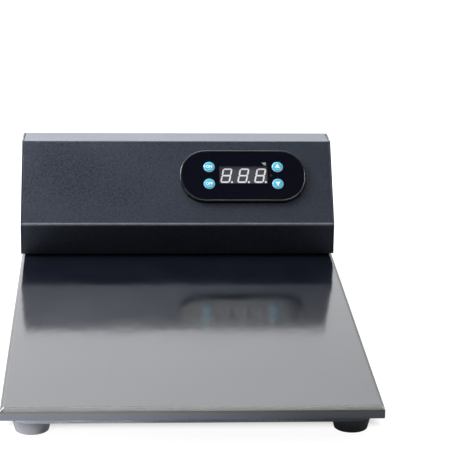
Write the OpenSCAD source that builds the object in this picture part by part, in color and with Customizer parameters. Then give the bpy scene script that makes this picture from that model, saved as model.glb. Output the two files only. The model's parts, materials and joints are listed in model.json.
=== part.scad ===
// Digital heating station: a thick aluminium heating plate on four rubber
// feet, with a folded steel control box standing on the back of the plate.
// Millimetres, +Z up, the front edge faces -Y. The origin is on the ground
// at the middle of the footprint.

/* [Heating plate] */
// Width of the plate
plate_w = 239; // [225:1:300]
// Depth of the plate in front of the control box
work_d = 310; // [270:1:360]
// Thickness of the plate
plate_t = 8.2; // [7.5:0.1:14]
// Chamfer along the upper edges of the plate
plate_chamfer = 2.5; // [0.5:0.1:3.5]
// Depth of the plate left bare behind the control box
rear_ledge = 4.4; // [4:0.1:12]

/* [Base pan] */
// Height of the pan under the plate
pan_h = 4.9; // [4.6:0.1:9]
// Sheet thickness of the pan
pan_t = 1; // [0.8:0.1:1.2]
// Distance from the edge of the plate to the pan
pan_inset = 6; // [4:0.5:6.5]
// Radius of the pan's corners, seen from above
pan_corner_r = 13; // [3:0.5:14]
// Thickness of the silicone heater mat
mat_t = 1.4; // [1:0.1:1.8]
// Distance from the heater mat to the spacers beside it
mat_gap = 3; // [2:0.5:8]
// Distance from the heater mat to the front wall of the control box
mat_back_gap = 8; // [4:0.5:30]
// Radius of the spacers between pan and plate
spacer_r = 4.5; // [4:0.1:6]
// Distance between neighbouring pan screws along a side
pan_screw_pitch = 110; // [80:1:120]

/* [Feet] */
// Height of a foot
foot_h = 8.6; // [7:0.1:16]
// Radius of a foot where it meets the pan
foot_top_r = 12.7; // [9:0.1:13]
// Radius of a foot on the ground
foot_bottom_r = 10.6; // [8:0.1:13]
// Distance from the plate's side edge to a foot's centre
foot_inset_x = 19; // [19:0.5:26]
// Distance from the plate's front or rear edge to a foot's centre
foot_inset_y = 20; // [19:0.5:26]
// Radius of the screw recess in a foot
foot_recess_r = 5.5; // [4.6:0.1:6]
// Depth of the screw recess in a foot
foot_recess_h = 5; // [4:0.1:6]

/* [Control box] */
// Height of the box
box_h = 77.3; // [72:0.1:100]
// Height of the upright lower front
box_front_h = 23.5; // [20:0.1:28]
// Depth of the box
box_d = 73.6; // [70:0.1:90]
// Depth of the level top
box_top_d = 26.9; // [20:0.1:30]
// Overhang of the box past each side edge of the plate
box_overhang = 0.5; // [0:0.1:2]
// Sheet thickness of the box
sheet_t = 1.2; // [0.8:0.1:1.5]
// Outer radius of the bends between front, slope and top
bend_r = 2; // [1.6:0.1:3]
// Outer radius of the upright rear corners
corner_r = 4; // [2:0.1:5]
// Width of the flanges that the cover folds round the rear panel
return_w = 9; // [8:0.1:11]
// Distance from the middle to each of the rear panel's lower screws
rear_low_x = 36; // [30:1:40]
// Distance from the front or rear of the box to its side screws
side_screw_inset = 20; // [16:0.5:26]
// Height of the upturned flanges of the box floor
flange_h = 10; // [8:0.1:14]
// Thickness of the insulating gasket between box and plate
gasket_t = 1.2; // [0.8:0.1:2]
// Depth of the box's seat below the work surface
seat_h = 0.2; // [0.1:0.05:0.4]
// Distance from the outline of the box to the gasket
gasket_inset = 3; // [2:0.1:5]
// Distance from the side of the box to its floor screws
floor_screw_inset_x = 18; // [14:0.5:24]
// Distance from the front or rear of the box to its floor screws
floor_screw_inset_y = 12; // [11:0.5:15]

/* [Rear vents] */
// Width of a vent slot
vent_w = 3; // [2:0.1:3.8]
// Height of a vent slot
vent_h = 26; // [14:1:36]
// Distance between neighbouring vent slots
vent_pitch = 7; // [6:0.1:8]
// Number of vent slots
vent_count = 9; // [3:1:10]
// Distance from the side of the box to the middle vent slot
vent_inset = 68; // [64:0.1:72]

/* [Thermostat unit] */
// Distance from the side of the box to the thermostat's centre
panel_inset = 69.1; // [64:0.1:72]
// Distance from the ridge up the slope to the thermostat's centre
panel_up = 40.1; // [38:0.1:43]
// Length of the oval bezel
bezel_w = 98; // [96:0.5:104]
// Height of the oval bezel
bezel_h = 44; // [43:0.5:48]
// Corner radius of the oval bezel
bezel_r = 20.5; // [16:0.5:21.5]
// Height of the bezel's rim above the slope
bezel_t = 2.6; // [2.2:0.1:4]
// Width of the rim round the front film
rim_w = 1.8; // [1.2:0.1:2]
// Depth of the pocket for the front film
film_pocket = 0.6; // [0.4:0.1:0.8]
// Thickness of the front film
film_t = 0.3; // [0.1:0.05:0.4]
// Thickness of the front wall behind the film
front_wall_t = 1.8; // [1.4:0.1:2]
// Distance from the bezel's end to the side of the case behind it
case_inset_w = 6; // [4.5:0.1:7]
// Distance from the bezel's long edge to the case behind it
case_inset_h = 5; // [4.5:0.1:5.5]
// Depth of the sleeve that is moulded with the bezel
sleeve_d = 12; // [11:0.1:16]
// Depth of the rear shell of the case
shell_d = 14; // [10:0.1:18]
// Wall thickness of the case
case_t = 1.6; // [1.2:0.1:2]
// Radius of the posts that carry the display board
post_r = 2.5; // [2:0.1:3]
// Length of a mounting clip along the sleeve
clip_l = 16; // [10:0.5:20]
// Width of a mounting clip
clip_w = 5.5; // [4:0.1:7]
// Depth of a mounting clip
clip_d = 8; // [6:0.1:9]

/* [Display] */
// Length of the display window
window_w = 37; // [36.5:0.1:40]
// Height of the display window
window_h = 14.4; // [14.2:0.1:16.5]
// Thickness of the display window
window_t = 1.2; // [0.8:0.1:1.5]
// Height of the display window above the middle of the bezel
window_up = 0.8; // [0:0.1:1.5]
// Height of the display module above the display board
module_h = 8; // [7.4:0.1:9]
// Width of a digit
digit_w = 7.6; // [6:0.1:8.2]
// Height of a digit
digit_h = 12.3; // [11:0.1:12.8]
// Distance between neighbouring digits
digit_pitch = 13.1; // [12:0.1:13.1]
// Stroke width of a segment
segment_w = 1.2; // [0.8:0.05:1.4]
// Gap between the ends of neighbouring segments
segment_gap = 0.2; // [0.1:0.05:0.4]
// Height of a segment above the face of the display module
segment_t = 0.15; // [0.1:0.05:0.2]
// Slant of the digits in degrees
digit_slant = 12; // [0:0.5:14]
// Radius of a decimal point
point_r = 0.8; // [0.5:0.05:0.9]
// Distance from the edge of a digit to the centre of its decimal point
point_gap = 1.6; // [1.2:0.05:1.7]
// Thickness of the display board
pcb_t = 1.6; // [1.2:0.1:2]
// Radius of the status light
led_r = 1; // [0.6:0.1:1.2]
// Sideways position of the status light from the bezel's centre
led_x = 21.4; // [21:0.1:22]

/* [Buttons] */
// Radius of a button
button_r = 4.1; // [4:0.1:5]
// Height of a button above the front film
button_rise = 1.1; // [1:0.1:2]
// Travel of a button
button_travel = 0.8; // [0.4:0.1:1]
// Width of the collar that keeps a button in its hole
collar_w = 0.9; // [0.6:0.1:1]
// Thickness of the collar
collar_t = 1.1; // [0.8:0.1:1.3]
// Radius of the stem under a button
stem_r = 1.6; // [1.2:0.1:2]
// Depth by which the stem enters its switch
stem_entry = 0.4; // [0.3:0.1:0.6]
// Distance from the bezel's centre to each column of buttons
button_x = 26.5; // [26.2:0.1:27.5]
// Distance between the two rows of buttons
button_pitch = 14.4; // [13:0.1:15]
// Height of the middle between the rows above the bezel's centre
button_up = 0.4; // [0:0.1:1]
// Width of the chamfer round a button's top
button_chamfer = 0.5; // [0.2:0.1:0.8]
// Radius of the circle round an arrow mark
mark_r = 2.2; // [1.4:0.1:2.8]
// Height of an arrow mark above its button
mark_t = 0.1; // [0.05:0.05:0.3]
// Side of a tactile switch
switch_w = 6; // [5:0.1:7]
// Height of a tactile switch
switch_h = 3.5; // [3:0.1:4]

/* [Power inlet] */
// Distance from the side of the box to the middle of the inlet
inlet_inset = 45; // [40:0.1:54]
// Height of the inlet module's centre above the underside of the box
inlet_up = 35.5; // [33:0.5:36.5]
// Width of the inlet's flange
inlet_flange_w = 50; // [48:0.5:54]
// Height of the inlet's flange
inlet_flange_h = 58; // [54:0.5:60]
// Thickness of the inlet's flange
inlet_flange_t = 2.2; // [2:0.1:3]
// Corner radius of the inlet's flange
inlet_flange_r = 3; // [1:0.5:6]
// Width of the inlet's body behind the panel
inlet_w = 28; // [27.5:0.5:30]
// Height of the inlet's body behind the panel
inlet_h = 48; // [47:0.5:50]
// Depth of the inlet's body behind the panel
inlet_d = 26; // [24:0.5:28]
// Distance between the inlet's two screws
inlet_screw_pitch = 40; // [38:0.5:42]
// Width of the socket
socket_w = 24.4; // [24:0.1:25]
// Height of the socket
socket_h = 16.8; // [16.4:0.1:17]
// Depth of the socket
socket_d = 17.5; // [16:0.1:19]
// Chamfer of the socket's two upper corners
socket_chamfer = 3.5; // [2:0.1:4]
// Drop of the socket's centre below the inlet's centre
socket_drop = 14.2; // [14:0.1:14.6]
// Thickness of a contact blade
blade_t = 2; // [1.6:0.1:2.2]
// Width of a contact blade
blade_w = 4; // [3.6:0.1:4.2]
// Distance from the mouth of the socket to the tips of the blades
blade_recess = 4.6; // [4.4:0.1:6]
// Distance between the two outer blades
blade_pitch = 14; // [13:0.1:14.5]
// Height of the earth blade above the outer blades
blade_rise = 4; // [3.6:0.1:4.4]
// Length of the terminals behind the inlet
terminal_l = 8; // [6:0.1:9]

/* [Fuse drawer] */
// Width of the fuse drawer
drawer_w = 23; // [22.6:0.1:23.6]
// Height of the fuse drawer
drawer_h = 7.2; // [7:0.1:7.4]
// Length of the fuse drawer
drawer_l = 20; // [18:0.5:21]
// Height of the drawer's centre above the inlet's centre
drawer_up = 1.2; // [1:0.1:1.4]
// Thickness of the drawer's front lip
lip_t = 1; // [0.8:0.1:1.6]
// Length of a fuse
fuse_l = 20; // [19.5:0.1:20.2]
// Radius of a fuse's end caps
fuse_r = 2.6; // [2.5:0.05:2.65]
// Length of a fuse's end cap
fuse_cap_l = 5; // [4:0.1:6]
// Radius of a fuse's glass tube
fuse_glass_r = 2.3; // [2.1:0.05:2.4]
// Distance between the two fuses
fuse_pitch = 8; // [7:0.1:8.6]

/* [Power rocker] */
// Width of the rocker
rocker_w = 20.4; // [19.6:0.1:21]
// Length of the rocker
rocker_l = 12.6; // [12:0.1:12.8]
// Height of the rocker's centre above the inlet's centre
rocker_up = 15.5; // [15.2:0.1:15.8]
// Tilt of the rocker at each end of its travel, in degrees
rocker_tilt = 9; // [6:0.5:11]
// Radius of the rocker's pivots
pivot_r = 1.4; // [1.2:0.1:1.6]
// Length of each pivot
pivot_l = 2; // [1.5:0.1:2.4]

/* [Power board] */
// Width of the power board
board_w = 60; // [58:0.5:64]
// Distance from the power board to the rear panel
board_rear_gap = 8.2; // [5:0.1:9]
// Distance from the front of the box to the power board
board_back = 13; // [12:0.5:15]
// Height of the spacers under the power board
standoff_h = 6; // [4:0.1:9]
// Radius of the spacers under the power board
standoff_r = 3; // [2.8:0.1:3.4]
// Distance from the board's edges to its screws
board_screw_inset = 4; // [4:0.1:5]
// Width of the transformer
core_w = 27; // [26:0.5:33]
// Height of the transformer
core_h = 27; // [25:0.5:29]
// Depth of the transformer's laminated core
core_d = 14; // [12:0.5:15]
// Width of the core's outer limbs and yokes
limb_w = 5; // [4.5:0.1:5.2]
// Distance that the coil stands out of the core, front and rear
coil_out = 5; // [4:0.1:5.5]
// Width of the relay
relay_w = 15.5; // [14:0.5:16]
// Depth of the relay
relay_d = 19; // [17:0.5:20]
// Height of the relay
relay_h = 14.5; // [12:0.5:15]
// Radius of the capacitor
capacitor_r = 5; // [4:0.1:5.5]
// Height of the capacitor
capacitor_h = 16; // [12:0.5:20]
// Depth of the terminal block
block_d = 10; // [9:0.1:11]
// Height of the terminal block
block_h = 11; // [10:0.1:12]
// Distance between neighbouring ways of the terminal block
block_pitch = 7.5; // [7:0.1:7.6]

/* [Sensors] */
// Radius of the thermal cut-out's body
cutout_r = 8; // [7:0.1:8.5]
// Height of the thermal cut-out's body
cutout_h = 9; // [7:0.1:12]
// Distance from the side of the box to the thermal cut-out
cutout_inset = 44; // [42:0.1:48]
// Distance from the front of the box to the thermal cut-out
cutout_back = 34; // [30:0.5:38]
// Distance between the cut-out's two screws
cutout_pitch = 24; // [23:0.5:26]
// Thickness of the cut-out's mounting strap
strap_t = 1; // [0.8:0.1:1.4]
// Radius of the temperature probe
probe_r = 2.3; // [2:0.1:2.4]
// Length of the temperature probe
probe_l = 30; // [20:1:40]
// Depth of the probe's channel in the underside of the plate
channel_h = 5; // [5:0.1:5.4]
// Distance from the front of the box to the tip of the probe
probe_reach = 160; // [100:1:200]

/* [Leads] */
// Radius of a lead
lead_r = 1.1; // [0.8:0.1:1.2]
// Sideways distance from the thermostat's centre to the hole that the leads pass through
lead_offset = 20.9; // [19:0.1:24]
// Distance from the front of the box to the lead hole
lead_back = 22; // [20:0.5:26]
// Radius of the lead hole through plate and box floor
lead_hole_r = 7; // [6.6:0.1:7.5]
// Wall thickness of the grommet in the lead hole
grommet_t = 1.5; // [1.2:0.1:1.6]
// Width of the grommet's flanges
grommet_flange = 2; // [1.5:0.1:2.5]
// Distance between neighbouring leads in the grommet
lead_pitch = 3.4; // [3:0.1:3.5]
// Height of the earth stud above the box floor
stud_h = 12; // [10:0.5:14]

/* [Fasteners] */
// Shank radius of the sheet-metal and board screws
screw_r = 1.5; // [1.2:0.1:1.6]
// Head radius of the sheet-metal and board screws
head_r = 2.8; // [2.6:0.1:3]
// Head height of the sheet-metal and board screws
head_h = 1.8; // [1.5:0.1:1.9]
// Head height of the low screws at the sides of the box
side_head_h = 0.9; // [0.7:0.1:1.2]
// Shank radius of the foot and plate screws
bolt_r = 2; // [1.8:0.1:2.2]
// Head radius of the foot and plate screws
bolt_head_r = 3.8; // [3.6:0.1:4]
// Head height of the foot and plate screws
bolt_head_h = 2.2; // [1.8:0.1:2.4]
// Width of a nut across its corners, for the screws
nut_w = 6.4; // [6:0.1:6.8]
// Width of a nut across its corners, for the bolts
bolt_nut_w = 8; // [7.6:0.1:8.4]
// Thickness of a nut
nut_t = 2.4; // [2:0.1:2.6]

/* [Clearances] */
// Gap round a moving piece
move_gap = 0.3; // [0.25:0.05:0.4]
// Gap between sheets that slide into each other
sheet_gap = 0.1; // [0.05:0.05:0.15]
// Radial gap of a pivot in its bearing
pivot_gap = 0.06; // [0.04:0.01:0.09]
// Radial gap of a screw in a plain hole
hole_gap = 0.3; // [0.2:0.05:0.4]
// Radial gap of a screw in its thread
thread_gap = 0.05; // [0.03:0.01:0.08]

/* [Hidden] */

$fn = 64;
cut = 1;
wire_sides = 12;
arc_steps = 6;
oval_steps = 14;
relief_share = 0.6;

// Heights of the main levels
pan_z = foot_h;
plate_z = pan_z + pan_h;
plate_top_z = plate_z + plate_t;
seat_z = plate_top_z - seat_h;
box_z = seat_z + gasket_t;
floor_top_z = box_z + sheet_t;
board_z = floor_top_z + standoff_h;
board_top_z = board_z + pcb_t;

// Places of what is set by its distance from the sides of the box
box_w = plate_w + 2 * box_overhang;
panel_x = box_w / 2 - panel_inset;
vent_x = box_w / 2 - vent_inset;
cutout_x = box_w / 2 - cutout_inset;
inlet_x = inlet_inset - box_w / 2;
lead_x = panel_x - lead_offset;

// Depths of the main faces
plate_d = work_d + box_d + rear_ledge;
box_front_y = work_d - plate_d / 2;
box_back_y = box_front_y + box_d;
rear_face_y = box_back_y - sheet_t;
rear_inner_y = rear_face_y - sheet_t;
box_in_w = box_w - 2 * sheet_t;
floor_w = box_in_w - 2 * sheet_gap;
floor_front_y = box_front_y + sheet_t + sheet_gap;
floor_d = rear_inner_y - floor_front_y;
panel_w = box_w - 2 * corner_r - 2 * sheet_gap;
panel_h = box_h - max(sheet_t, bend_r) - sheet_gap;

// The slope and the places on it
slope_run = box_d - box_top_d;
slope_rise = box_h - box_front_h;
slope_a = atan2(slope_rise, slope_run);
slope_y = box_front_y + panel_up * cos(slope_a);
slope_z = box_z + box_front_h + panel_up * sin(slope_a);

// Levels of the thermostat, measured from the outer face of the slope
film_z = bezel_t - film_pocket;
film_top_z = film_z + film_t;
wall_in_z = film_z - front_wall_t;
window_z = film_top_z - window_t;
module_top_z = window_z - segment_t - sheet_gap;
display_top_z = module_top_z - module_h;
display_z = display_top_z - pcb_t;
switch_top_z = display_top_z + switch_h;
shell_end_z = -sleeve_d - shell_d;
case_w = bezel_w - 2 * case_inset_w;
case_h = bezel_h - 2 * case_inset_h;
collar_z = wall_in_z - sheet_gap - collar_t;
button_top_z = film_top_z + button_rise;
stem_end_z = switch_top_z - stem_entry;
switch_bore_z = stem_end_z - button_travel - move_gap;
cavity_w = case_w - 2 * case_t;
cavity_h = case_h - 2 * case_t;
display_w = cavity_w - 2 * move_gap;
display_h = cavity_h - 2 * move_gap;

// Places of screws, feet and buttons
function corners(x, y) = [for (i = [-1, 1], j = [-1, 1]) [i * x, j * y]];
foot_x = plate_w / 2 - foot_inset_x;
foot_y = plate_d / 2 - foot_inset_y;
pan_screw_places = concat(
    [for (i = [-1, 1], j = [-1 : 1]) [i * foot_x, j * pan_screw_pitch]],
    [[0, -foot_y], [0, foot_y]]
);
floor_screw_x = box_w / 2 - floor_screw_inset_x;
floor_screw_places = [
    for (i = [-1, 1], y = [box_front_y + floor_screw_inset_y, box_back_y - floor_screw_inset_y])
        [i * floor_screw_x, y]
];
cover_screw_z = box_z + flange_h / 2 + sheet_t / 2;
cover_screw_ys = [box_front_y + side_screw_inset, box_back_y - side_screw_inset];
rear_screw_x = box_w / 2 - (corner_r + return_w) / 2;
rear_screw_places = [
    [-rear_screw_x, box_h / 3], [-rear_screw_x, box_h * 2 / 3],
    [rear_screw_x, box_h / 3], [rear_screw_x, box_h * 2 / 3],
    [0, box_h - return_w / 2], [-rear_low_x, flange_h / 2 + sheet_t / 2],
    [rear_low_x, flange_h / 2 + sheet_t / 2]
];
button_hole_r = button_r + move_gap;
button_places = [
    [-button_x, button_up + button_pitch / 2], [-button_x, button_up - button_pitch / 2],
    [button_x, button_up + button_pitch / 2], [button_x, button_up - button_pitch / 2]
];
post_x = cavity_w / 2 - post_r;
post_y = cavity_h / 2 - post_r;

// The heater mat and the pad under it
mat_w = 2 * (foot_x - max(spacer_r, bolt_nut_w / 2) - mat_gap);
mat_front_y = -foot_y + spacer_r + mat_gap;
mat_back_y = box_front_y - mat_back_gap;
pad_back_y = foot_y - spacer_r - mat_gap;
pad_t = pan_h - pan_t - mat_t - sheet_gap;

// The lead hole, the probe's channel and the cut-out's opening
lead_y = box_front_y + lead_back;
probe_x = lead_x + lead_pitch;
probe_tip_y = box_front_y - probe_reach;
channel_w = 2 * probe_r + 2 * hole_gap;
probe_z = plate_z + channel_h - probe_r - hole_gap;
grommet_r = lead_hole_r + grommet_flange;
cutout_y = box_front_y + cutout_back;
strap_w = cutout_pitch + 2 * head_r + 2 * hole_gap;
strap_d = 2 * head_r + 2 * hole_gap;
opening_w = strap_w + 2 * hole_gap;
opening_d = 2 * cutout_r + 2 * hole_gap;

// The inlet, measured from the outer face of the rear panel
inlet_z = box_z + inlet_up;
blade_y = -socket_drop - (blade_rise - sheet_gap) / 2;
blade_places = [
    [-blade_pitch / 2, blade_y], [blade_pitch / 2, blade_y], [0, blade_y + blade_rise]
];
drawer_slot_w = drawer_w + 2 * move_gap;
drawer_slot_h = drawer_h + 2 * move_gap;
drawer_slot_d = drawer_l + move_gap;
fuse_trough_w = 2 * fuse_r + sheet_gap;
fuse_zs = [for (i = [-1, 1]) (i * fuse_pitch - drawer_l) / 2];
rocker_slot_w = rocker_w + 2 * move_gap;
rocker_slot_h = rocker_l + 4 * move_gap;
rocker_slot_d = rocker_l * relief_share;
pivot_z = inlet_flange_t - pivot_r * 2;
inlet_back_z = -inlet_d;

// The power board and what stands on it. The transformer stands midway between the inlet
// and the thermostat's case.
board_front_y = box_front_y + board_back;
board_d = rear_inner_y - board_rear_gap - board_front_y;
board_y = board_front_y + board_d / 2;
board_screw_places = corners(board_w / 2 - board_screw_inset, board_d / 2 - board_screw_inset);
block_count = 4;
block_w = block_count * block_pitch;
block_y = -board_d / 2 + block_d / 2;
core_x = core_w / 2 + board_screw_inset + head_r + hole_gap - board_w / 2;
core_y = board_d / 2 - hole_gap - core_d / 2 - coil_out;
board_x = (inlet_x + inlet_w / 2 + panel_x - case_w / 2) / 2 - core_x;
centre_limb_w = 2 * limb_w;
window_gap_w = (core_w - 2 * limb_w - centre_limb_w) / 2;
window_gap_h = core_h - 2 * limb_w;
coil_w = centre_limb_w + 2 * window_gap_w - 2 * sheet_gap;
relay_x = board_w / 2 - hole_gap - relay_w / 2;
relay_y = block_y + block_d / 2 + hole_gap + relay_d / 2;
capacitor_x = capacitor_r + board_screw_inset / 2 - board_w / 2;
capacitor_y = block_y + block_d / 2 + hole_gap + capacitor_r;
entry_z = board_top_z + block_h / 3;
entry_r = lead_r + hole_gap;
lead_step = 2 * (lead_r + sheet_gap);
stud_x = inlet_x;
stud_y = box_front_y + lead_back - 2 * bolt_head_r;

// Rounded rectangle as a list of points, each corner an arc
function arc_points(x, y, r, a0, a1, steps) = [
    for (i = [0 : steps]) let (a = a0 + (a1 - a0) * i / steps) [x + r * cos(a), y + r * sin(a)]
];

function oval_points(w, h, r, steps) = concat(
    arc_points(w / 2 - r, h / 2 - r, r, 0, 90, steps),
    arc_points(r - w / 2, h / 2 - r, r, 90, 180, steps),
    arc_points(r - w / 2, r - h / 2, r, 180, 270, steps),
    arc_points(w / 2 - r, r - h / 2, r, 270, 360, steps)
);

// Side profile of the box, drawn in by t, as depth and height from its lower front edge.
// The first bend is the ridge, the second the top's front edge, the third its rear edge.
function box_profile(t, below) =
    let (
        r = bend_r - t,
        half_ridge = (90 - slope_a) / 2,
        half_top = slope_a / 2,
        ridge = [t, box_front_h - t * tan(half_ridge)],
        brow = [slope_run + t * tan(half_top), box_h - t],
        ridge_c = [ridge.x + r, ridge.y - r * tan(half_ridge)],
        brow_c = [brow.x + r * tan(half_top), brow.y - r],
        back_c = [box_d - t - r, box_h - t - r]
    )
    concat(
        [[t, -below]],
        arc_points(ridge_c.x, ridge_c.y, r, 180, 90 + slope_a, arc_steps),
        arc_points(brow_c.x, brow_c.y, r, 90 + slope_a, 90, arc_steps),
        arc_points(back_c.x, back_c.y, r, 90, 0, arc_steps),
        [[box_d - t, -below]]
    );

// Plan of the box, drawn in by t, with round rear corners
function box_plan(t) =
    let (x = box_w / 2 - t, r = corner_r - t, y = box_d - t)
    concat(
        [[-x, t], [x, t]],
        arc_points(x - r, y - r, r, 0, 90, arc_steps),
        arc_points(r - x, y - r, r, 90, 180, arc_steps)
    );

// A solid with the box's shape, drawn in by t and open to a depth below its underside
module box_solid(t, below) {
    translate([0, box_front_y, box_z])
    intersection() {
        rotate([90, 0, 90])
        translate([0, 0, -box_w / 2 + t])
        linear_extrude(box_w - 2 * t)
        polygon(box_profile(t, below));
        translate([0, 0, -below])
        linear_extrude(box_h + below)
        polygon(box_plan(t));
    }
}

// Moves to the thermostat's centre, with +Y up the slope and +Z out of it
module on_slope() {
    translate([panel_x, slope_y, slope_z])
    rotate([slope_a, 0, 0])
    children();
}

// Moves to the inlet's centre on the rear panel, with +Y up and +Z out of the back
module on_rear() {
    translate([inlet_x, rear_face_y, inlet_z])
    rotate([90, 0, 180])
    children();
}

// Moves to the power board's centre, on its upper face
module on_board() {
    translate([board_x, board_y, board_top_z])
    children();
}

module at(places) {
    for (p = places) translate([p.x, p.y, 0]) children();
}

module block(w, d, h) {
    translate([-w / 2, -d / 2, 0]) cube([w, d, h]);
}

// A cross-head screw: the head stands on z = 0 and the shank points down
module cross_screw(shank_r, length, top_r, top_h) {
    slot = shank_r / 3;
    difference() {
        union() {
            cylinder(h = top_h * relief_share, r = top_r);
            translate([0, 0, top_h * relief_share])
            cylinder(h = top_h * (1 - relief_share), r1 = top_r, r2 = top_r - shank_r / 2);
            translate([0, 0, -length]) cylinder(h = length + top_h / 2, r = shank_r);
        }
        translate([0, 0, top_h * (1 - relief_share)]) {
            block(2 * shank_r, slot, top_h);
            block(slot, 2 * shank_r, top_h);
        }
    }
}

module hex_nut(w, h, bore_r) {
    difference() {
        cylinder(h = h, r = w / 2, $fn = 6);
        translate([0, 0, -cut]) cylinder(h = h + 2 * cut, r = bore_r);
    }
}

function unit(v) = v / norm(v);

// Ring of points round the start of a wire, square to its first run
function first_ring(points, r) =
    let (
        d = unit(points[1] - points[0]),
        u = unit(cross(d, abs(d.x) < abs(d.z) ? [1, 0, 0] : [0, 0, 1])),
        w = cross(d, u)
    )
    [
        for (i = [0 : wire_sides - 1])
            let (a = 360 * i / wire_sides)
            points[0] + r * (cos(a) * u + sin(a) * w)
    ];

// The rings of a wire: each slides along its run into the plane that halves the next bend
function wire_rings(points, i, ring) =
    i == len(points) - 1 ? [ring] :
    let (
        here = points[i + 1],
        d = unit(here - points[i]),
        n = i + 2 < len(points) ? d + unit(points[i + 2] - here) : d,
        next_ring = [for (p = ring) p + d * (((here - p) * n) / (d * n))]
    )
    concat([ring], wire_rings(points, i + 1, next_ring));

// A wire along a list of points, with mitred bends
module wire(points, r) {
    last = len(points) - 1;
    s = wire_sides;
    start_cap = [for (i = [0 : s - 1]) i];
    end_cap = [for (i = [s - 1 : -1 : 0]) last * s + i];
    walls = [
        for (j = [0 : last - 1], i = [0 : s - 1])
            let (k = (i + 1) % s)
            [j * s + i, (j + 1) * s + i, (j + 1) * s + k, j * s + k]
    ];
    polyhedron(
        points = [for (ring = wire_rings(points, 0, first_ring(points, r))) each ring],
        faces = concat([start_cap], walls, [end_cap])
    );
}

module heating_plate() {
    color("lightslategray")
    difference() {
        intersection() {
            rotate([90, 0, 0])
            translate([0, plate_z, -plate_d / 2])
            linear_extrude(plate_d)
            polygon(plate_section(plate_w));
            rotate([90, 0, 90])
            translate([0, plate_z, -plate_w / 2])
            linear_extrude(plate_w)
            polygon(plate_section(plate_d));
        }
        translate([-plate_w, box_front_y - sheet_gap, seat_z]) cube([2 * plate_w, plate_d, plate_t]);
        translate([0, 0, plate_z - cut]) {
            at(pan_screw_places) cylinder(h = plate_t * relief_share + cut, r = bolt_r + thread_gap);
            translate([lead_x, lead_y, 0]) cylinder(h = plate_t + 2 * cut, r = lead_hole_r);
            translate([probe_x - channel_w / 2, probe_tip_y - hole_gap, 0])
            cube([channel_w, lead_y - probe_tip_y, channel_h + cut]);
        }
        translate([0, 0, plate_top_z - plate_t * relief_share]) {
            at(floor_screw_places) cylinder(h = plate_t, r = bolt_r + thread_gap);
            translate([cutout_x, cutout_y, 0])
            at([[-cutout_pitch / 2, 0], [cutout_pitch / 2, 0]])
            cylinder(h = plate_t, r = screw_r + thread_gap);
        }
    }
}

// Cross-section of the plate with its chamfered upper edges
function plate_section(w) = [
    [-w / 2, 0], [w / 2, 0], [w / 2, plate_t - plate_chamfer],
    [w / 2 - plate_chamfer, plate_t], [plate_chamfer - w / 2, plate_t], [-w / 2, plate_t - plate_chamfer]
];

module base_pan() {
    pan_w = plate_w - 2 * pan_inset;
    pan_d = plate_d - 2 * pan_inset;
    color("dimgray")
    translate([0, 0, pan_z])
    difference() {
        linear_extrude(pan_h)
        polygon(oval_points(pan_w, pan_d, pan_corner_r, oval_steps));
        translate([0, 0, pan_t])
        linear_extrude(pan_h)
        polygon(oval_points(pan_w - 2 * pan_t, pan_d - 2 * pan_t, pan_corner_r - pan_t, oval_steps));
        translate([0, 0, -cut]) {
            at(pan_screw_places) cylinder(h = pan_h, r = bolt_r + hole_gap);
            at(corners(foot_x, foot_y)) cylinder(h = pan_h, r = bolt_r + hole_gap);
        }
    }
}

module pan_spacers() {
    color("silver")
    translate([0, 0, pan_z + pan_t])
    at(pan_screw_places)
    difference() {
        cylinder(h = pan_h - pan_t, r = spacer_r);
        translate([0, 0, -cut]) cylinder(h = pan_h + cut, r = bolt_r + hole_gap);
    }
}

module pan_screws() {
    color("silver")
    translate([0, 0, pan_z])
    at(pan_screw_places)
    mirror([0, 0, 1])
    cross_screw(bolt_r, pan_h + plate_t / 2, bolt_head_r, bolt_head_h);
}

module heater_mat() {
    color("firebrick")
    translate([-mat_w / 2, mat_front_y, plate_z - mat_t])
    cube([mat_w, mat_back_y - mat_front_y, mat_t]);
}

module insulation_pad() {
    notch_w = 4 * lead_pitch;
    color("ivory")
    difference() {
        translate([-mat_w / 2, mat_front_y, pan_z + pan_t])
        cube([mat_w, pad_back_y - mat_front_y, pad_t]);
        translate([lead_x - notch_w / 2, mat_back_y - mat_back_gap, pan_z])
        cube([notch_w, lead_y + lead_hole_r - mat_back_y + mat_back_gap, pan_h]);
    }
}

module rubber_foot(i, j) {
    color("black")
    translate([i * foot_x, j * foot_y, 0])
    difference() {
        cylinder(h = foot_h, r1 = foot_bottom_r, r2 = foot_top_r);
        translate([0, 0, -cut]) {
            cylinder(h = foot_recess_h + cut, r = foot_recess_r);
            cylinder(h = foot_h + 2 * cut, r = bolt_r + hole_gap);
        }
    }
}

module foot_screws() {
    color("silver")
    translate([0, 0, foot_recess_h])
    at(corners(foot_x, foot_y))
    mirror([0, 0, 1])
    cross_screw(bolt_r, foot_h - foot_recess_h + pan_t + nut_t, bolt_head_r, bolt_head_h);
}

module foot_nuts() {
    color("silver")
    translate([0, 0, pan_z + pan_t])
    at(corners(foot_x, foot_y))
    hex_nut(bolt_nut_w, nut_t, bolt_r + thread_gap);
}

module temperature_probe() {
    color("silver")
    translate([probe_x, probe_tip_y, probe_z])
    rotate([-90, 0, 0])
    cylinder(h = probe_l, r = probe_r);
}

module thermal_cutout() {
    tab_w = cutout_r / 2;
    color("darkslategray")
    translate([cutout_x, cutout_y, seat_z]) {
        difference() {
            block(strap_w, strap_d, strap_t);
            translate([0, 0, -cut])
            at([[-cutout_pitch / 2, 0], [cutout_pitch / 2, 0]])
            cylinder(h = strap_t + 2 * cut, r = screw_r + hole_gap);
        }
        cylinder(h = cutout_h, r = cutout_r);
        for (i = [-1, 1])
            translate([i * tab_w, 0, 0])
            block(strap_t, tab_w, cutout_h + terminal_l);
    }
}

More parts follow.
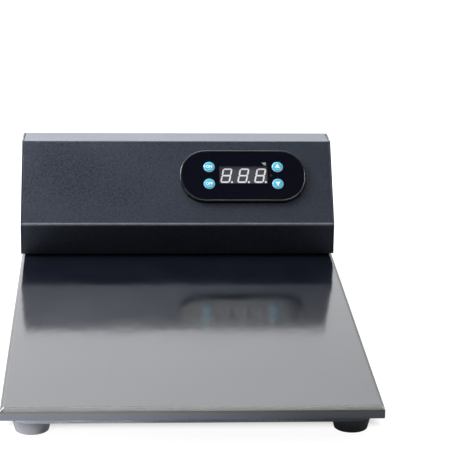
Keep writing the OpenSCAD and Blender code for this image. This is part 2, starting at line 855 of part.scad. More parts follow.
module cutout_screws() {
    color("silver")
    translate([cutout_x, cutout_y, seat_z + strap_t])
    at([[-cutout_pitch / 2, 0], [cutout_pitch / 2, 0]])
    cross_screw(screw_r, strap_t + plate_t / 2, head_r, head_h);
}

// Openings that the gasket and the box floor share
module floor_openings(hole_r) {
    translate([lead_x, lead_y, 0]) cylinder(h = box_z + flange_h, r = hole_r);
    translate([cutout_x, cutout_y, 0]) block(opening_w, opening_d, box_z + flange_h);
    at(floor_screw_places) cylinder(h = box_z + flange_h, r = bolt_r + hole_gap);
}

module box_gasket() {
    color("antiquewhite")
    difference() {
        translate([0, box_front_y + gasket_inset, seat_z])
        translate([-box_w / 2 + gasket_inset, 0, 0])
        cube([box_w - 2 * gasket_inset, box_d - 2 * gasket_inset, gasket_t]);
        floor_openings(grommet_r + hole_gap);
    }
}

module box_floor() {
    inner_w = floor_w - 2 * sheet_t;
    inner_d = floor_d - 2 * sheet_t;
    rear_gap = corner_r + sheet_gap;
    color("gray")
    difference() {
        translate([0, floor_front_y + floor_d / 2, box_z])
        difference() {
            block(floor_w, floor_d, flange_h);
            translate([0, 0, sheet_t]) block(inner_w, inner_d, flange_h);
            for (i = [-1, 1])
                translate([i * floor_w / 2, floor_d / 2, -cut])
                block(2 * rear_gap, 2 * rear_gap, flange_h + 2 * cut);
        }
        floor_openings(lead_hole_r);
        at([for (p = board_screw_places) [p.x + board_x, p.y + board_y]])
        cylinder(h = box_z + flange_h, r = screw_r + hole_gap);
        translate([stud_x, stud_y, 0]) cylinder(h = box_z + flange_h, r = bolt_r + thread_gap);
        cover_screw_holes(thread_gap);
        rear_screw_holes(thread_gap);
    }
}

module cover_screw_holes(gap) {
    for (y = cover_screw_ys)
        translate([-box_w, y, cover_screw_z])
        rotate([0, 90, 0])
        cylinder(h = 2 * box_w, r = screw_r + gap);
}

module rear_screw_holes(gap) {
    for (p = rear_screw_places)
        translate([p.x, box_back_y + cut, box_z + p.y])
        rotate([90, 0, 0])
        cylinder(h = corner_r + flange_h, r = screw_r + gap);
}

module floor_screws() {
    color("silver")
    translate([0, 0, floor_top_z])
    at(floor_screw_places)
    cross_screw(bolt_r, sheet_t + gasket_t + plate_t / 2, bolt_head_r, bolt_head_h);
}

module control_cover() {
    opening_gap = 2 * hole_gap;
    color("darkslategray")
    difference() {
        box_solid(0, 0);
        box_solid(sheet_t, cut);
        translate([-box_w / 2 + return_w, rear_face_y - cut, box_z - cut])
        cube([box_w - 2 * return_w, sheet_t + 2 * cut, box_h - return_w + cut]);
        on_slope()
        translate([0, 0, -sheet_t - cut])
        block(case_w + opening_gap, case_h + opening_gap, sheet_t + 2 * cut);
        cover_screw_holes(hole_gap);
        rear_screw_holes(hole_gap);
    }
}

module cover_screws() {
    color("black")
    for (i = [-1, 1], y = cover_screw_ys)
        translate([i * box_w / 2, y, cover_screw_z])
        rotate([0, i * 90, 0])
        cross_screw(screw_r, 3 * sheet_t + sheet_gap, head_r, side_head_h);
}

module rear_panel() {
    vent_start = vent_x - (vent_count - 1) / 2 * vent_pitch;
    color("darkslategray")
    difference() {
        translate([-panel_w / 2, rear_inner_y, box_z])
        cube([panel_w, sheet_t, panel_h]);
        on_rear() {
            translate([0, 0, -sheet_t - cut])
            block(inlet_w + 2 * hole_gap, inlet_h + 2 * hole_gap, sheet_t + 2 * cut);
            translate([0, 0, -sheet_t - cut])
            at([[-inlet_screw_pitch / 2, 0], [inlet_screw_pitch / 2, 0]])
            cylinder(h = sheet_t + 2 * cut, r = screw_r + hole_gap);
        }
        for (i = [0 : vent_count - 1])
            translate([vent_start + i * vent_pitch, rear_face_y + cut, inlet_z])
            rotate([90, 0, 0])
            linear_extrude(sheet_t + 2 * cut)
            polygon(oval_points(vent_w, vent_h, vent_w / 2, arc_steps));
        rear_screw_holes(hole_gap);
    }
}

module rear_screws() {
    color("black")
    for (p = rear_screw_places) {
        inset = p.y < flange_h ? sheet_t : 0;
        translate([p.x, box_back_y - inset, box_z + p.y])
        rotate([-90, 0, 0])
        cross_screw(screw_r, 3 * sheet_t + nut_t - inset, head_r, head_h);
    }
}

module lead_grommet() {
    upper_t = grommet_t;
    lower_t = gasket_t - sheet_gap;
    color("black")
    translate([lead_x, lead_y, box_z])
    difference() {
        union() {
            translate([0, 0, -lower_t]) cylinder(h = lower_t, r = grommet_r);
            cylinder(h = sheet_t, r = lead_hole_r);
            translate([0, 0, sheet_t]) cylinder(h = upper_t, r = grommet_r);
        }
        translate([0, 0, -lower_t - cut])
        cylinder(h = box_h, r = lead_hole_r - grommet_t);
    }
}

// Outline of the socket: a rectangle with its two upper corners cut off
function socket_points() = [
    [-socket_w / 2, -socket_h / 2], [socket_w / 2, -socket_h / 2],
    [socket_w / 2, socket_h / 2 - socket_chamfer], [socket_w / 2 - socket_chamfer, socket_h / 2],
    [socket_chamfer - socket_w / 2, socket_h / 2], [-socket_w / 2, socket_h / 2 - socket_chamfer]
];

module inlet_body() {
    color("black")
    on_rear()
    difference() {
        union() {
            linear_extrude(inlet_flange_t)
            polygon(oval_points(inlet_flange_w, inlet_flange_h, inlet_flange_r, arc_steps));
            translate([0, 0, inlet_back_z]) block(inlet_w, inlet_h, inlet_d);
        }
        translate([0, -socket_drop, inlet_flange_t - socket_d])
        linear_extrude(socket_d + cut)
        polygon(socket_points());
        for (p = blade_places)
            translate([p.x, p.y, inlet_back_z - cut])
            block(blade_t, blade_w, inlet_d);
        translate([0, drawer_up, inlet_flange_t - drawer_slot_d])
        block(drawer_slot_w, drawer_slot_h, drawer_slot_d + cut);
        translate([0, rocker_up, inlet_flange_t - rocker_slot_d])
        block(rocker_slot_w, rocker_slot_h, rocker_slot_d + cut);
        translate([-rocker_w / 2 - pivot_l - move_gap, rocker_up, pivot_z])
        rotate([0, 90, 0])
        cylinder(h = rocker_w + 2 * pivot_l + 2 * move_gap, r = pivot_r + pivot_gap);
        translate([0, 0, -cut])
        at([[-inlet_screw_pitch / 2, 0], [inlet_screw_pitch / 2, 0]])
        cylinder(h = inlet_flange_t + 2 * cut, r = screw_r + hole_gap);
    }
}

module inlet_blades() {
    reach = inlet_flange_t - blade_recess - inlet_back_z + terminal_l;
    color("gold")
    on_rear()
    for (p = blade_places)
        translate([p.x, p.y, inlet_back_z - terminal_l])
        block(blade_t, blade_w, reach);
}

module inlet_screws() {
    color("silver")
    on_rear()
    translate([0, 0, inlet_flange_t])
    at([[-inlet_screw_pitch / 2, 0], [inlet_screw_pitch / 2, 0]])
    cross_screw(screw_r, inlet_flange_t + sheet_t + nut_t, head_r, head_h);
}

module inlet_nuts() {
    color("silver")
    on_rear()
    translate([0, 0, -sheet_t - nut_t])
    at([[-inlet_screw_pitch / 2, 0], [inlet_screw_pitch / 2, 0]])
    hex_nut(nut_w, nut_t, screw_r + thread_gap);
}

module fuse_drawer() {
    notch_w = drawer_w / 3;
    trough_h = 2 * fuse_r + move_gap + sheet_gap;
    color("black")
    on_rear()
    translate([0, drawer_up, inlet_flange_t])
    difference() {
        translate([0, 0, -drawer_l])
        block(drawer_w, drawer_h, drawer_l + lip_t);
        for (z = fuse_zs)
            translate([0, (drawer_h - trough_h + cut) / 2, z - fuse_trough_w / 2])
            block(fuse_l + 2 * sheet_gap, trough_h + cut, fuse_trough_w);
        translate([0, -drawer_h / 2, lip_t / 2])
        block(notch_w, drawer_h / 3, lip_t);
    }
}

// Places each child along the two fuses' axes
module along_fuses() {
    on_rear()
    for (z = fuse_zs)
        translate([0, drawer_up + drawer_h / 2 - fuse_r - move_gap, inlet_flange_t + z])
        rotate([0, 90, 0])
        children();
}

module fuse_tubes() {
    tube_l = fuse_l - 2 * fuse_cap_l;
    color("lightcyan")
    along_fuses()
    translate([0, 0, -tube_l / 2])
    cylinder(h = tube_l, r = fuse_glass_r);
}

module fuse_caps() {
    color("silver")
    along_fuses()
    for (i = [0, 1])
        mirror([0, 0, i])
        translate([0, 0, fuse_l / 2 - fuse_cap_l])
        cylinder(h = fuse_cap_l, r = fuse_r);
}

// Side profile of the rocker round its pivot: two wings that rise to their tips
function rocker_profile() = [
    [-rocker_l / 2, 0], [-rocker_l / 2, 2 * pivot_r], [0, pivot_r + move_gap],
    [rocker_l / 2, 2 * pivot_r], [rocker_l / 2, 0], [pivot_r, -2 * pivot_r], [-pivot_r, -2 * pivot_r]
];

module power_rocker() {
    color("red")
    on_rear()
    translate([0, rocker_up, pivot_z])
    rotate([rocker_tilt, 0, 0]) {
        rotate([90, 0, 90])
        translate([0, 0, -rocker_w / 2])
        linear_extrude(rocker_w)
        polygon(rocker_profile());
        rotate([0, 90, 0])
        translate([0, 0, -rocker_w / 2 - pivot_l])
        cylinder(h = rocker_w + 2 * pivot_l, r = pivot_r);
    }
}

// Holes for the display window, the buttons and the status light
module front_holes(window_extra, from, to) {
    translate([0, window_up, from])
    block(window_w + 2 * window_extra, window_h + 2 * window_extra, to - from);
    translate([0, 0, from])
    at(button_places)
    cylinder(h = to - from, r = button_hole_r);
    translate([led_x, button_up, from]) cylinder(h = to - from, r = led_r + thread_gap);
}

module bezel() {
    step_t = bezel_t * relief_share;
    step_w = rim_w / 2;
    color("black")
    on_slope()
    difference() {
        union() {
            linear_extrude(step_t)
            polygon(oval_points(bezel_w, bezel_h, bezel_r, oval_steps));
            linear_extrude(bezel_t)
            polygon(oval_points(bezel_w - step_w, bezel_h - step_w, bezel_r - step_w / 2, oval_steps));
            translate([0, 0, -sleeve_d]) block(case_w, case_h, sleeve_d);
        }
        translate([0, 0, film_z])
        linear_extrude(bezel_t)
        polygon(oval_points(bezel_w - 2 * rim_w, bezel_h - 2 * rim_w, bezel_r - rim_w, oval_steps));
        translate([0, 0, -sleeve_d - cut]) block(cavity_w, cavity_h, sleeve_d + cut + wall_in_z);
        front_holes(sheet_gap, -cut, bezel_t + cut);
    }
}

module front_film() {
    inset = rim_w + sheet_gap;
    color("black")
    on_slope()
    difference() {
        translate([0, 0, film_z])
        linear_extrude(film_t)
        polygon(oval_points(bezel_w - 2 * inset, bezel_h - 2 * inset, bezel_r - inset, oval_steps));
        front_holes(sheet_gap, film_z - cut, film_top_z + cut);
    }
}

module display_window() {
    color("slategray")
    on_slope()
    translate([0, window_up, window_z])
    block(window_w, window_h, window_t);
}

module display_module() {
    color("dimgray")
    on_slope()
    translate([0, window_up, display_top_z])
    block(window_w, window_h, module_h);
}

function slant(p) = [p.x + p.y * tan(digit_slant), p.y];

// A bar with pointed ends from a to b, slanted with its digit
module segment_bar(a, b) {
    d = (b - a) / norm(b - a);
    n = [-d.y, d.x] * segment_w / 2;
    e = d * (segment_gap / 2);
    s = d * segment_w / 2;
    outline = [a + e, a + e + s + n, b - e - s + n, b - e, b - e - s - n, a + e + s - n];
    linear_extrude(segment_t)
    polygon([for (p = outline) slant(p)]);
}

module digit() {
    x = (digit_w - segment_w) / 2;
    y = (digit_h - segment_w) / 2;
    for (k = [-1 : 1]) segment_bar([-x, k * y], [x, k * y]);
    for (i = [-1, 1], k = [-1, 0]) segment_bar([i * x, k * y], [i * x, (k + 1) * y]);
    foot = slant([digit_w / 2 + point_gap, -y]);
    translate([foot.x, foot.y, 0]) cylinder(h = segment_t, r = point_r);
}

module display_segments() {
    color("white")
    on_slope()
    translate([0, window_up, module_top_z])
    for (i = [-1 : 1]) translate([i * digit_pitch, 0, 0]) digit();
}

module status_light() {
    color("salmon")
    on_slope()
    translate([led_x, button_up, display_top_z])
    cylinder(h = film_top_z - display_top_z, r = led_r);
}

module button(k) {
    color("deepskyblue")
    on_slope()
    translate([button_places[k].x, button_places[k].y, 0]) {
        translate([0, 0, collar_z])
        cylinder(h = button_top_z - button_chamfer - collar_z, r = button_r);
        translate([0, 0, button_top_z - button_chamfer])
        cylinder(h = button_chamfer, r1 = button_r, r2 = button_r - button_chamfer);
        translate([0, 0, collar_z]) cylinder(h = collar_t, r = button_r + collar_w);
        translate([0, 0, stem_end_z]) cylinder(h = collar_z - stem_end_z + collar_t, r = stem_r);
    }
}

// A triangle on button k, pointing up the slope for +1 and down it for -1
module arrow_mark(k, way) {
    color("white")
    on_slope()
    translate([button_places[k].x, button_places[k].y, button_top_z])
    linear_extrude(mark_t)
    polygon([for (i = [0 : 2]) let (a = way * 90 + i * 120) [mark_r * cos(a), mark_r * sin(a)]]);
}

module tactile_switches() {
    color("gray")
    on_slope()
    at(button_places)
    difference() {
        translate([0, 0, display_top_z]) block(switch_w, switch_w, switch_h);
        translate([0, 0, switch_bore_z]) cylinder(h = switch_h, r = stem_r + move_gap);
    }
}

module display_board() {
    color("seagreen")
    on_slope()
    translate([0, 0, display_z])
    block(display_w, display_h, pcb_t);
}

module case_shell() {
    color("dimgray")
    on_slope() {
        difference() {
            translate([0, 0, shell_end_z]) block(case_w, case_h, shell_d);
            translate([0, 0, shell_end_z + case_t]) block(cavity_w, cavity_h, shell_d);
        }
        translate([0, 0, shell_end_z])
        at(corners(post_x, post_y))
        block(2 * post_r, 2 * post_r, display_z - shell_end_z);
    }
}

module mounting_clips() {
    color("silver")
    on_slope()
    for (i = [-1, 1])
        translate([i * (case_w + clip_w) / 2, 0, -sheet_t - sheet_gap - clip_d])
        difference() {
            block(clip_w, clip_l, clip_d);
            translate([i * sheet_t, 0, -cut])
            block(clip_w, clip_l - 2 * sheet_t, clip_d + cut - sheet_t);
        }
}

module power_board() {
    color("seagreen")
    on_board()
    translate([0, 0, -pcb_t])
    difference() {
        block(board_w, board_d, pcb_t);
        translate([0, 0, -cut])
        at(board_screw_places)
        cylinder(h = pcb_t + 2 * cut, r = screw_r + hole_gap);
    }
}

module board_standoffs() {
    color("silver")
    on_board()
    translate([0, 0, -pcb_t - standoff_h])
    at(board_screw_places)
    difference() {
        cylinder(h = standoff_h, r = standoff_r);
        translate([0, 0, -cut]) cylinder(h = standoff_h + 2 * cut, r = screw_r + thread_gap);
    }
}

module board_screws() {
    color("silver")
    on_board()
    at(board_screw_places)
    cross_screw(screw_r, pcb_t + standoff_h, head_r, head_h);
}

module transformer_core() {
    color("darkgray")
    on_board()
    translate([core_x, core_y, 0])
    difference() {
        block(core_w, core_d, core_h);
        for (i = [-1, 1])
            translate([i * (centre_limb_w + window_gap_w) / 2, 0, limb_w])
            block(window_gap_w, core_d + 2 * cut, window_gap_h);
    }
}

module transformer_coil() {
    color("goldenrod")
    on_board()
    translate([core_x, core_y, limb_w + sheet_gap])
    difference() {
        block(coil_w, core_d + 2 * coil_out, window_gap_h - 2 * sheet_gap);
        translate([0, 0, -cut])
        block(centre_limb_w + 2 * sheet_gap, core_d + 2 * sheet_gap, core_h);
    }
}

module relay() {
    color("royalblue")
    on_board()
    translate([relay_x, relay_y, 0])
    block(relay_w, relay_d, relay_h);
}

module capacitor() {
    color("black")
    on_board()
    translate([capacitor_x, capacitor_y, 0])
    cylinder(h = capacitor_h, r = capacitor_r);
}

// Sideways place of way k of the terminal block
function way_x(k) = board_x + (k - (block_count - 1) / 2) * block_pitch;

module terminal_block() {
    color("green")
    difference() {
        on_board()
        translate([0, block_y, 0])
        block(block_w, block_d, block_h);
        for (k = [0 : block_count - 1]) {
            translate([way_x(k), board_front_y - cut, entry_z])
            rotate([-90, 0, 0])
            cylinder(h = block_d / 2 + cut, r = entry_r);
            translate([way_x(k), board_y + block_y, board_top_z + block_h - block_h / 4])
            cylinder(h = block_h, r = head_r - hole_gap);
        }
    }
}

module earth_stud() {
    color("gold")
    translate([stud_x, stud_y, box_z]) {
        cylinder(h = sheet_t + stud_h, r = bolt_r);
        translate([0, 0, sheet_t + lead_r]) hex_nut(bolt_nut_w, nut_t, bolt_r - thread_gap);
        translate([0, 0, sheet_t]) cylinder(h = lead_r, r = bolt_head_r);
    }
}

// Points into way k of the terminal block, along a lane in front of it at a height above
// the entries
function way_points(x, k, lane, rise) =
    let (
        y = board_front_y - 3 * lane * lead_r,
        z = entry_z + rise * lead_step,
        end_y = board_front_y + block_d / 2
    )
    [[x, y, z], [way_x(k), y, z], [way_x(k), y, entry_z], [way_x(k), end_y, entry_z]];

// From the mat's rear edge, through the grommet, to the last two ways of the block
module heater_leads() {
    low_z = pan_z + pan_t + lead_r + sheet_gap;
    color("white")
    for (k = [0, 1]) {
        x = lead_x - k * lead_pitch;
        high_z = entry_z + (k + 2) * lead_step;
        wire(concat(
            [[x, mat_back_y, low_z], [x, lead_y, low_z], [x, lead_y, high_z]],
            way_points(x, block_count - 1 - k, k + 1, k + 2)
        ), lead_r);
    }
}

// A point behind the thermostat's case, at x and y from its centre and out of its rear wall
function case_exit(x, y, out) =
    let (z = shell_end_z - out)
    [
        panel_x + x,
        slope_y + y * cos(slope_a) - z * sin(slope_a),
        slope_z + y * sin(slope_a) + z * cos(slope_a)
    ];

// From the probe, along its channel and through the grommet, to the thermostat's case
module probe_lead() {
    color("dimgray")
    wire([
        [probe_x, probe_tip_y + probe_l, probe_z],
        [probe_x, lead_y, probe_z],
        [probe_x, lead_y, floor_top_z + flange_h],
        case_exit(probe_x - panel_x, 0, 8 * lead_r),
        case_exit(probe_x - panel_x, 0, 0)
    ], lead_r);
}

// From the inlet's terminals to the first two ways of the block, and from earth to the stud
module mains_leads() {
    back_y = rear_face_y - inlet_d - terminal_l;
    live_z = inlet_z + blade_y + blade_w / 2;
    earth_z = live_z + blade_rise;
    earth_y = stud_y + 2 * bolt_head_r;
    color("saddlebrown")
    for (k = [0, 1]) {
        x = inlet_x + (k - 0.5) * blade_pitch;
        wire(concat(
            [[x, back_y, live_z], [x, way_points(x, k, k + 1, k + 1)[0].y, live_z]],
            way_points(x, k, k + 1, k + 1)
        ), lead_r);
    }
    color("green")
    wire([
        [inlet_x, back_y, earth_z],
        [inlet_x, earth_y, earth_z],
        [inlet_x, earth_y, floor_top_z + lead_r + sheet_gap],
        [inlet_x, stud_y + bolt_head_r, floor_top_z + lead_r + sheet_gap]
    ], lead_r);
}

// Three leads from the case's rear wall to the power board
module display_leads() {
    exit_x = case_t + 2 * lead_r - case_w / 2;
    low_x = board_x + relay_x - relay_w / 2;
    low_y = board_y + relay_y + relay_d / 2 + 2 * lead_pitch;
    color("gray")
    for (k = [-1 : 1]) {
        turn = case_exit(exit_x, k * lead_pitch, 4 * lead_r);
        wire([
            case_exit(exit_x, k * lead_pitch, 0),
            turn,
            [low_x, low_y + k * lead_pitch, turn.z],
            [low_x, low_y + k * lead_pitch, board_top_z]
        ], lead_r);
    }
}

heating_plate();
base_pan();
pan_spacers();
pan_screws();
heater_mat();
insulation_pad();
rubber_foot(-1, -1);  // foot_front_left
rubber_foot(1, -1);  // foot_front_right
rubber_foot(-1, 1);  // foot_rear_left
rubber_foot(1, 1);  // foot_rear_right
foot_screws();
foot_nuts();
temperature_probe();
thermal_cutout();
cutout_screws();
box_gasket();
box_floor();
floor_screws();
control_cover();
cover_screws();
rear_panel();
rear_screws();
lead_grommet();
inlet_body();
inlet_blades();
inlet_screws();
inlet_nuts();
fuse_drawer();
fuse_tubes();
fuse_caps();
power_rocker();
bezel();
front_film();
display_window();
display_module();
display_segments();
status_light();
button(0);  // button_upper_left
button(1);  // button_lower_left
button(2);  // button_raise
button(3);  // button_lower
arrow_mark(2, 1);  // mark_raise
arrow_mark(3, -1);  // mark_lower
tactile_switches();
display_board();
case_shell();
mounting_clips();
power_board();
board_standoffs();
board_screws();
transformer_core();
transformer_coil();
relay();
capacitor();
terminal_block();
earth_stud();
heater_leads();
probe_lead();
mains_leads();
display_leads();
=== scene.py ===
import json
import math

import bmesh
import bpy
import numpy as np
from mathutils import Matrix, Vector


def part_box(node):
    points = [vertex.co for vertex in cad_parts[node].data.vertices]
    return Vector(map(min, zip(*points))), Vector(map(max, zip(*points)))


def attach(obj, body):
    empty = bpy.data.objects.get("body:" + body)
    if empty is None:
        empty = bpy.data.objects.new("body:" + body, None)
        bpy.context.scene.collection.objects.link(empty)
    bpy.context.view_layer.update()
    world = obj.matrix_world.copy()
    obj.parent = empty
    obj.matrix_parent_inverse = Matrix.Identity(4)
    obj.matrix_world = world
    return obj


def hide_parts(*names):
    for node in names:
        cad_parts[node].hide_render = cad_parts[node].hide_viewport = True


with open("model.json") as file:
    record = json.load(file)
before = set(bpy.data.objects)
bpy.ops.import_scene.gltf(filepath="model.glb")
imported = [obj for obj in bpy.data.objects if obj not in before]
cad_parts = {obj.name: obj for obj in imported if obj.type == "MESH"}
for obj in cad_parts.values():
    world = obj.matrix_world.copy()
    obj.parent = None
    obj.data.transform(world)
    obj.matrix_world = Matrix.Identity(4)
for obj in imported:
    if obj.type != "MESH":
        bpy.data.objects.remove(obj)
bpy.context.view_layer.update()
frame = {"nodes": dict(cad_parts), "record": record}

MM = 0.001
NODES = frame["nodes"]


def box_of(node):
    """Lowest and highest corner of a node, in millimetres."""
    low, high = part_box(node)
    return np.array(low) / MM, np.array(high) / MM


# sizes of plate, pan and feet, in millimetres

plate_low, plate_high = box_of("heating_plate")
pan_low, pan_high = box_of("base_pan")
PLATE_CHAMFER = 2.5
PLATE_CORNER_R = 0.6
PLATE_FACE_INSET = 9.0
EDGE_RING = 0.6
BLUER_BELOW = (2.2, 3.6)
PAN_SHEET = 1.0
PAN_CORNER_R = 13.0
PAN_FLOOR_INSET = 12.0
LEAST_CORNER_R = 0.6
FOOT_TOP_R = 12.7
FOOT_BOTTOM_R = 10.6
FOOT_RECESS_R = 5.5
FOOT_RECESS_H = 5.0
FOOT_BORE_R = 2.3

# sizes of the control box, in millimetres

cover_low, cover_high = box_of("control_cover")
SHEET = 1.2
SEAM = 0.14
FRONT_H = 23.5
TOP_D = 26.9
BEND_R = 2.0
CORNER_R = 4.0
RETURN_W = 9.0
SIDE_LEAD = 0.9
SIDE_DROP = 0.55
OPENING_GAP = 0.3

# sizes of the thermostat, in millimetres, heights counted from the slope

PANEL_INSET = 69.1
PANEL_UP = 40.1
BEZEL_W, BEZEL_H, BEZEL_R = 98.0, 44.0, 20.5
BEZEL_T = 2.6
RIM_W = 1.8
FILM_Z = 2.0
FILM_TOP = 2.3
SLEEVE_W, SLEEVE_H, SLEEVE_D = 86.0, 34.0, 12.0
SLEEVE_T = 1.6
SLEEVE_R = 1.0
WALL_Z = 0.2
WINDOW_W, WINDOW_H, WINDOW_UP = 37.0, 14.4, 0.8
WINDOW_GAP = 0.1
LIGHT_X = 21.4
LIGHT_HALF = 1.1
KEY_X = 26.5
KEY_UP = 0.4
KEY_PITCH = 14.4
KEY_R = 4.1
KEY_GAP = 0.5
KEY_TOP = 3.4
KEY_CROWN = 0.28
KEY_RIM_R = 0.75
COLLAR_R = 5.6
COLLAR_LOW, COLLAR_TOP = -1.0, 0.1
STEM_R = 1.6
STEM_LOW = -4.05
POLE_R = 0.02
WORD_H = 2.2
WORD_DROP = 0.3
UNIT_H = 1.9
UNIT_X, UNIT_UP = 16.3, 10.0
PRINT_T = 0.04
PRINT_LIFT = 0.03
PRINT_WEIGHT = 0.03
CAPITAL_SHARE = 0.7

# how finely curves are drawn, and angles in degrees that part soft edges from sharp ones

BEND_STEPS = 8
OVAL_STEPS = 20
TURN_STEPS = 72
SHARP_ANGLE = 32
ROUNDED_ANGLE = 40

# places on the control box

box_w, box_d, box_h = cover_high - cover_low
box_y, box_z = cover_low[1:]
brow = box_d - TOP_D
slope_a = math.atan2(box_h - FRONT_H, brow)
panel_x = box_w / 2 - PANEL_INSET
panel_y = box_y + PANEL_UP * math.cos(slope_a)
panel_z = box_z + FRONT_H + PANEL_UP * math.sin(slope_a)
ON_SLOPE = Matrix.Translation((panel_x, panel_y, panel_z)) @ Matrix.Rotation(slope_a, 4, "X")


# shapes

def rounded(corners, radii, steps, closed=False):
    """Straight runs between corners, each corner turned into an arc that touches both runs."""
    p = np.array(corners, float)
    before, after = np.roll(p, 1, axis=0), np.roll(p, -1, axis=0)
    parts = []
    for i, r in enumerate(radii):
        if r == 0 or not closed and i in (0, len(p) - 1):
            parts.append(p[i : i + 1])
            continue
        a = (p[i] - before[i]) / np.linalg.norm(p[i] - before[i])
        b = (after[i] - p[i]) / np.linalg.norm(after[i] - p[i])
        turn = math.atan2(a[0] * b[1] - a[1] * b[0], a @ b)
        n = math.copysign(1, turn) * np.array([-a[1], a[0]])
        centre = p[i] - a * r * math.tan(abs(turn) / 2) + n * r
        phi = np.linspace(0, abs(turn), steps + 1)[:, None]
        parts.append(centre + r * (a * np.sin(phi) - n * np.cos(phi)))
    return np.concatenate(parts)


def loop(w, d, r, steps):
    """A rectangle w by d with quarter circles of radius r at its corners, anticlockwise from +X."""
    phi = np.linspace(0, math.pi / 2, steps + 1)
    turns = phi + np.arange(4)[:, None] * math.pi / 2
    signs = np.array([[1, 1], [-1, 1], [-1, -1], [1, -1]])
    centres = signs * [w / 2 - r, d / 2 - r]
    x = centres[:, :1] + r * np.cos(turns)
    y = centres[:, 1:] + r * np.sin(turns)
    return np.stack([x.ravel(), y.ravel()], axis=1)


def lifted(outline, z):
    """An outline at height z."""
    return np.column_stack([outline, np.full(len(outline), z)])


def boxed(low, high, rows, r, steps):
    """Loops round the box from low to high, one for each (inset, height) row of a profile.

    The corners of a loop that is drawn in keep their centres, down to the least corner radius.
    """
    w, d = (high - low)[:2]
    loops = []
    for inset, z in rows:
        outline = loop(w - 2 * inset, d - 2 * inset, max(r - inset, LEAST_CORNER_R), steps)
        loops.append(lifted(outline, z))
    return np.stack(loops) + [*(high + low)[:2] / 2, 0]


def lathed(profile):
    """A profile of (radius, height) rows turned round the upright axis."""
    turns = np.linspace(0, 2 * math.pi, TURN_STEPS, endpoint=False)
    r, z = np.array(profile)[:, :1], np.array(profile)[:, 1:]
    upright = np.broadcast_to(z, (len(r), TURN_STEPS))
    return np.stack([r * np.cos(turns), r * np.sin(turns), upright], axis=2)


def skin(grid, ring=False):
    """Points and faces of loops joined each to the next. ring joins the last to the first.

    Without ring, a flat face closes each end.
    """
    rows, columns = grid.shape[:2]
    j, i = np.meshgrid(np.arange(rows if ring else rows - 1), np.arange(columns), indexing="ij")
    j2, i2 = (j + 1) % rows, (i + 1) % columns
    corners = [j * columns + i, j * columns + i2, j2 * columns + i2, j2 * columns + i]
    faces = np.stack(corners, axis=-1).reshape(-1, 4).tolist()
    if not ring:
        last = (rows - 1) * columns
        faces += [list(range(columns))[::-1], list(range(last, last + columns))]
    return grid.reshape(-1, 3), faces


def sheet_skin(outer, inner, keep):
    """Points and faces of a sheet between two grids of points, where keep says which cells are there.

    Each cell has a face on both grids, and every free edge of the sheet gets a wall.
    """
    rows, columns = outer.shape[:2]
    count = rows * columns
    number = np.arange(count).reshape(rows, columns)
    a, b, c, d = number[:-1, :-1], number[:-1, 1:], number[1:, 1:], number[1:, :-1]
    cells = np.stack([a, b, c, d], axis=-1)
    quads = [cells[keep], cells[keep][:, ::-1] + count]
    padded = np.pad(keep, 1)
    sides = (
        (a, b, padded[:-2, 1:-1]),
        (b, c, padded[1:-1, 2:]),
        (c, d, padded[2:, 1:-1]),
        (d, a, padded[1:-1, :-2]),
    )
    for p, q, neighbour in sides:
        free = keep & ~neighbour
        p, q = p[free], q[free]
        quads.append(np.stack([q, p, p + count, q + count], axis=-1))
    points = np.concatenate([outer.reshape(-1, 3), inner.reshape(-1, 3)])
    used, faces = np.unique(np.concatenate(quads), return_inverse=True)
    return points[used], faces.reshape(-1, 4).tolist()


def joined(*skins):
    """Several skins as one list of points and one of faces."""
    points, faces = [], []
    for p, f in skins:
        first = sum(map(len, points))
        points.append(p)
        faces += [[k + first for k in face] for face in f]
    return np.concatenate(points), faces


# pieces

def shown(name, data):
    """A new object in the scene."""
    made = bpy.data.objects.new(name, data)
    bpy.context.scene.collection.objects.link(made)
    return made


def dress(made, slot, body, stands_for=()):
    made.data.materials.clear()
    made.data.materials.append(FINISHES[slot])
    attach(made, body)
    if stands_for:
        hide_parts(*stands_for)


def smoothed(name, mesh, edge, segments):
    """A new object, shaded smooth, with its sharp edges rounded by edge millimetres."""
    mesh.shade_smooth()
    mesh.set_sharp_from_angle(angle=math.radians(SHARP_ANGLE))
    made = shown(name, mesh)
    if edge:
        bevel = made.modifiers.new("edges", "BEVEL")
        bevel.width = edge * MM
        bevel.segments = segments
        bevel.limit_method = "ANGLE"
        bevel.angle_limit = math.radians(ROUNDED_ANGLE)
        bevel.harden_normals = True
        bevel.use_clamp_overlap = True
    return made


def piece(name, skin_of, slot, stands_for, body="station", place=Matrix(), edge=0.0):
    """A new mesh piece from points in millimetres, moved by place, that stands for a node."""
    points, faces = skin_of
    mesh = bpy.data.meshes.new(name)
    mesh.from_pydata(points, [], faces)
    mesh.transform(place)
    mesh.transform(Matrix.Scale(MM, 4))
    bm = bmesh.new()
    bm.from_mesh(mesh)
    bmesh.ops.recalc_face_normals(bm, faces=bm.faces)
    bm.to_mesh(mesh)
    bm.free()
    dress(smoothed(name, mesh, edge, 2), slot, body, (stands_for,))


def softened(node, slot, body="station", edge=0.3, segments=2):
    """A merged copy of a frame node with its sharp edges rounded, which stands for the node."""
    bm = bmesh.new()
    bm.from_mesh(NODES[node].data)
    bmesh.ops.remove_doubles(bm, verts=bm.verts, dist=2e-6)
    bmesh.ops.dissolve_limit(bm, angle_limit=math.radians(0.5), verts=bm.verts, edges=bm.edges)
    mesh = bpy.data.meshes.new(node + "_soft")
    bm.to_mesh(mesh)
    bm.free()
    dress(smoothed(node + "_soft", mesh, edge, segments), slot, body, (node,))


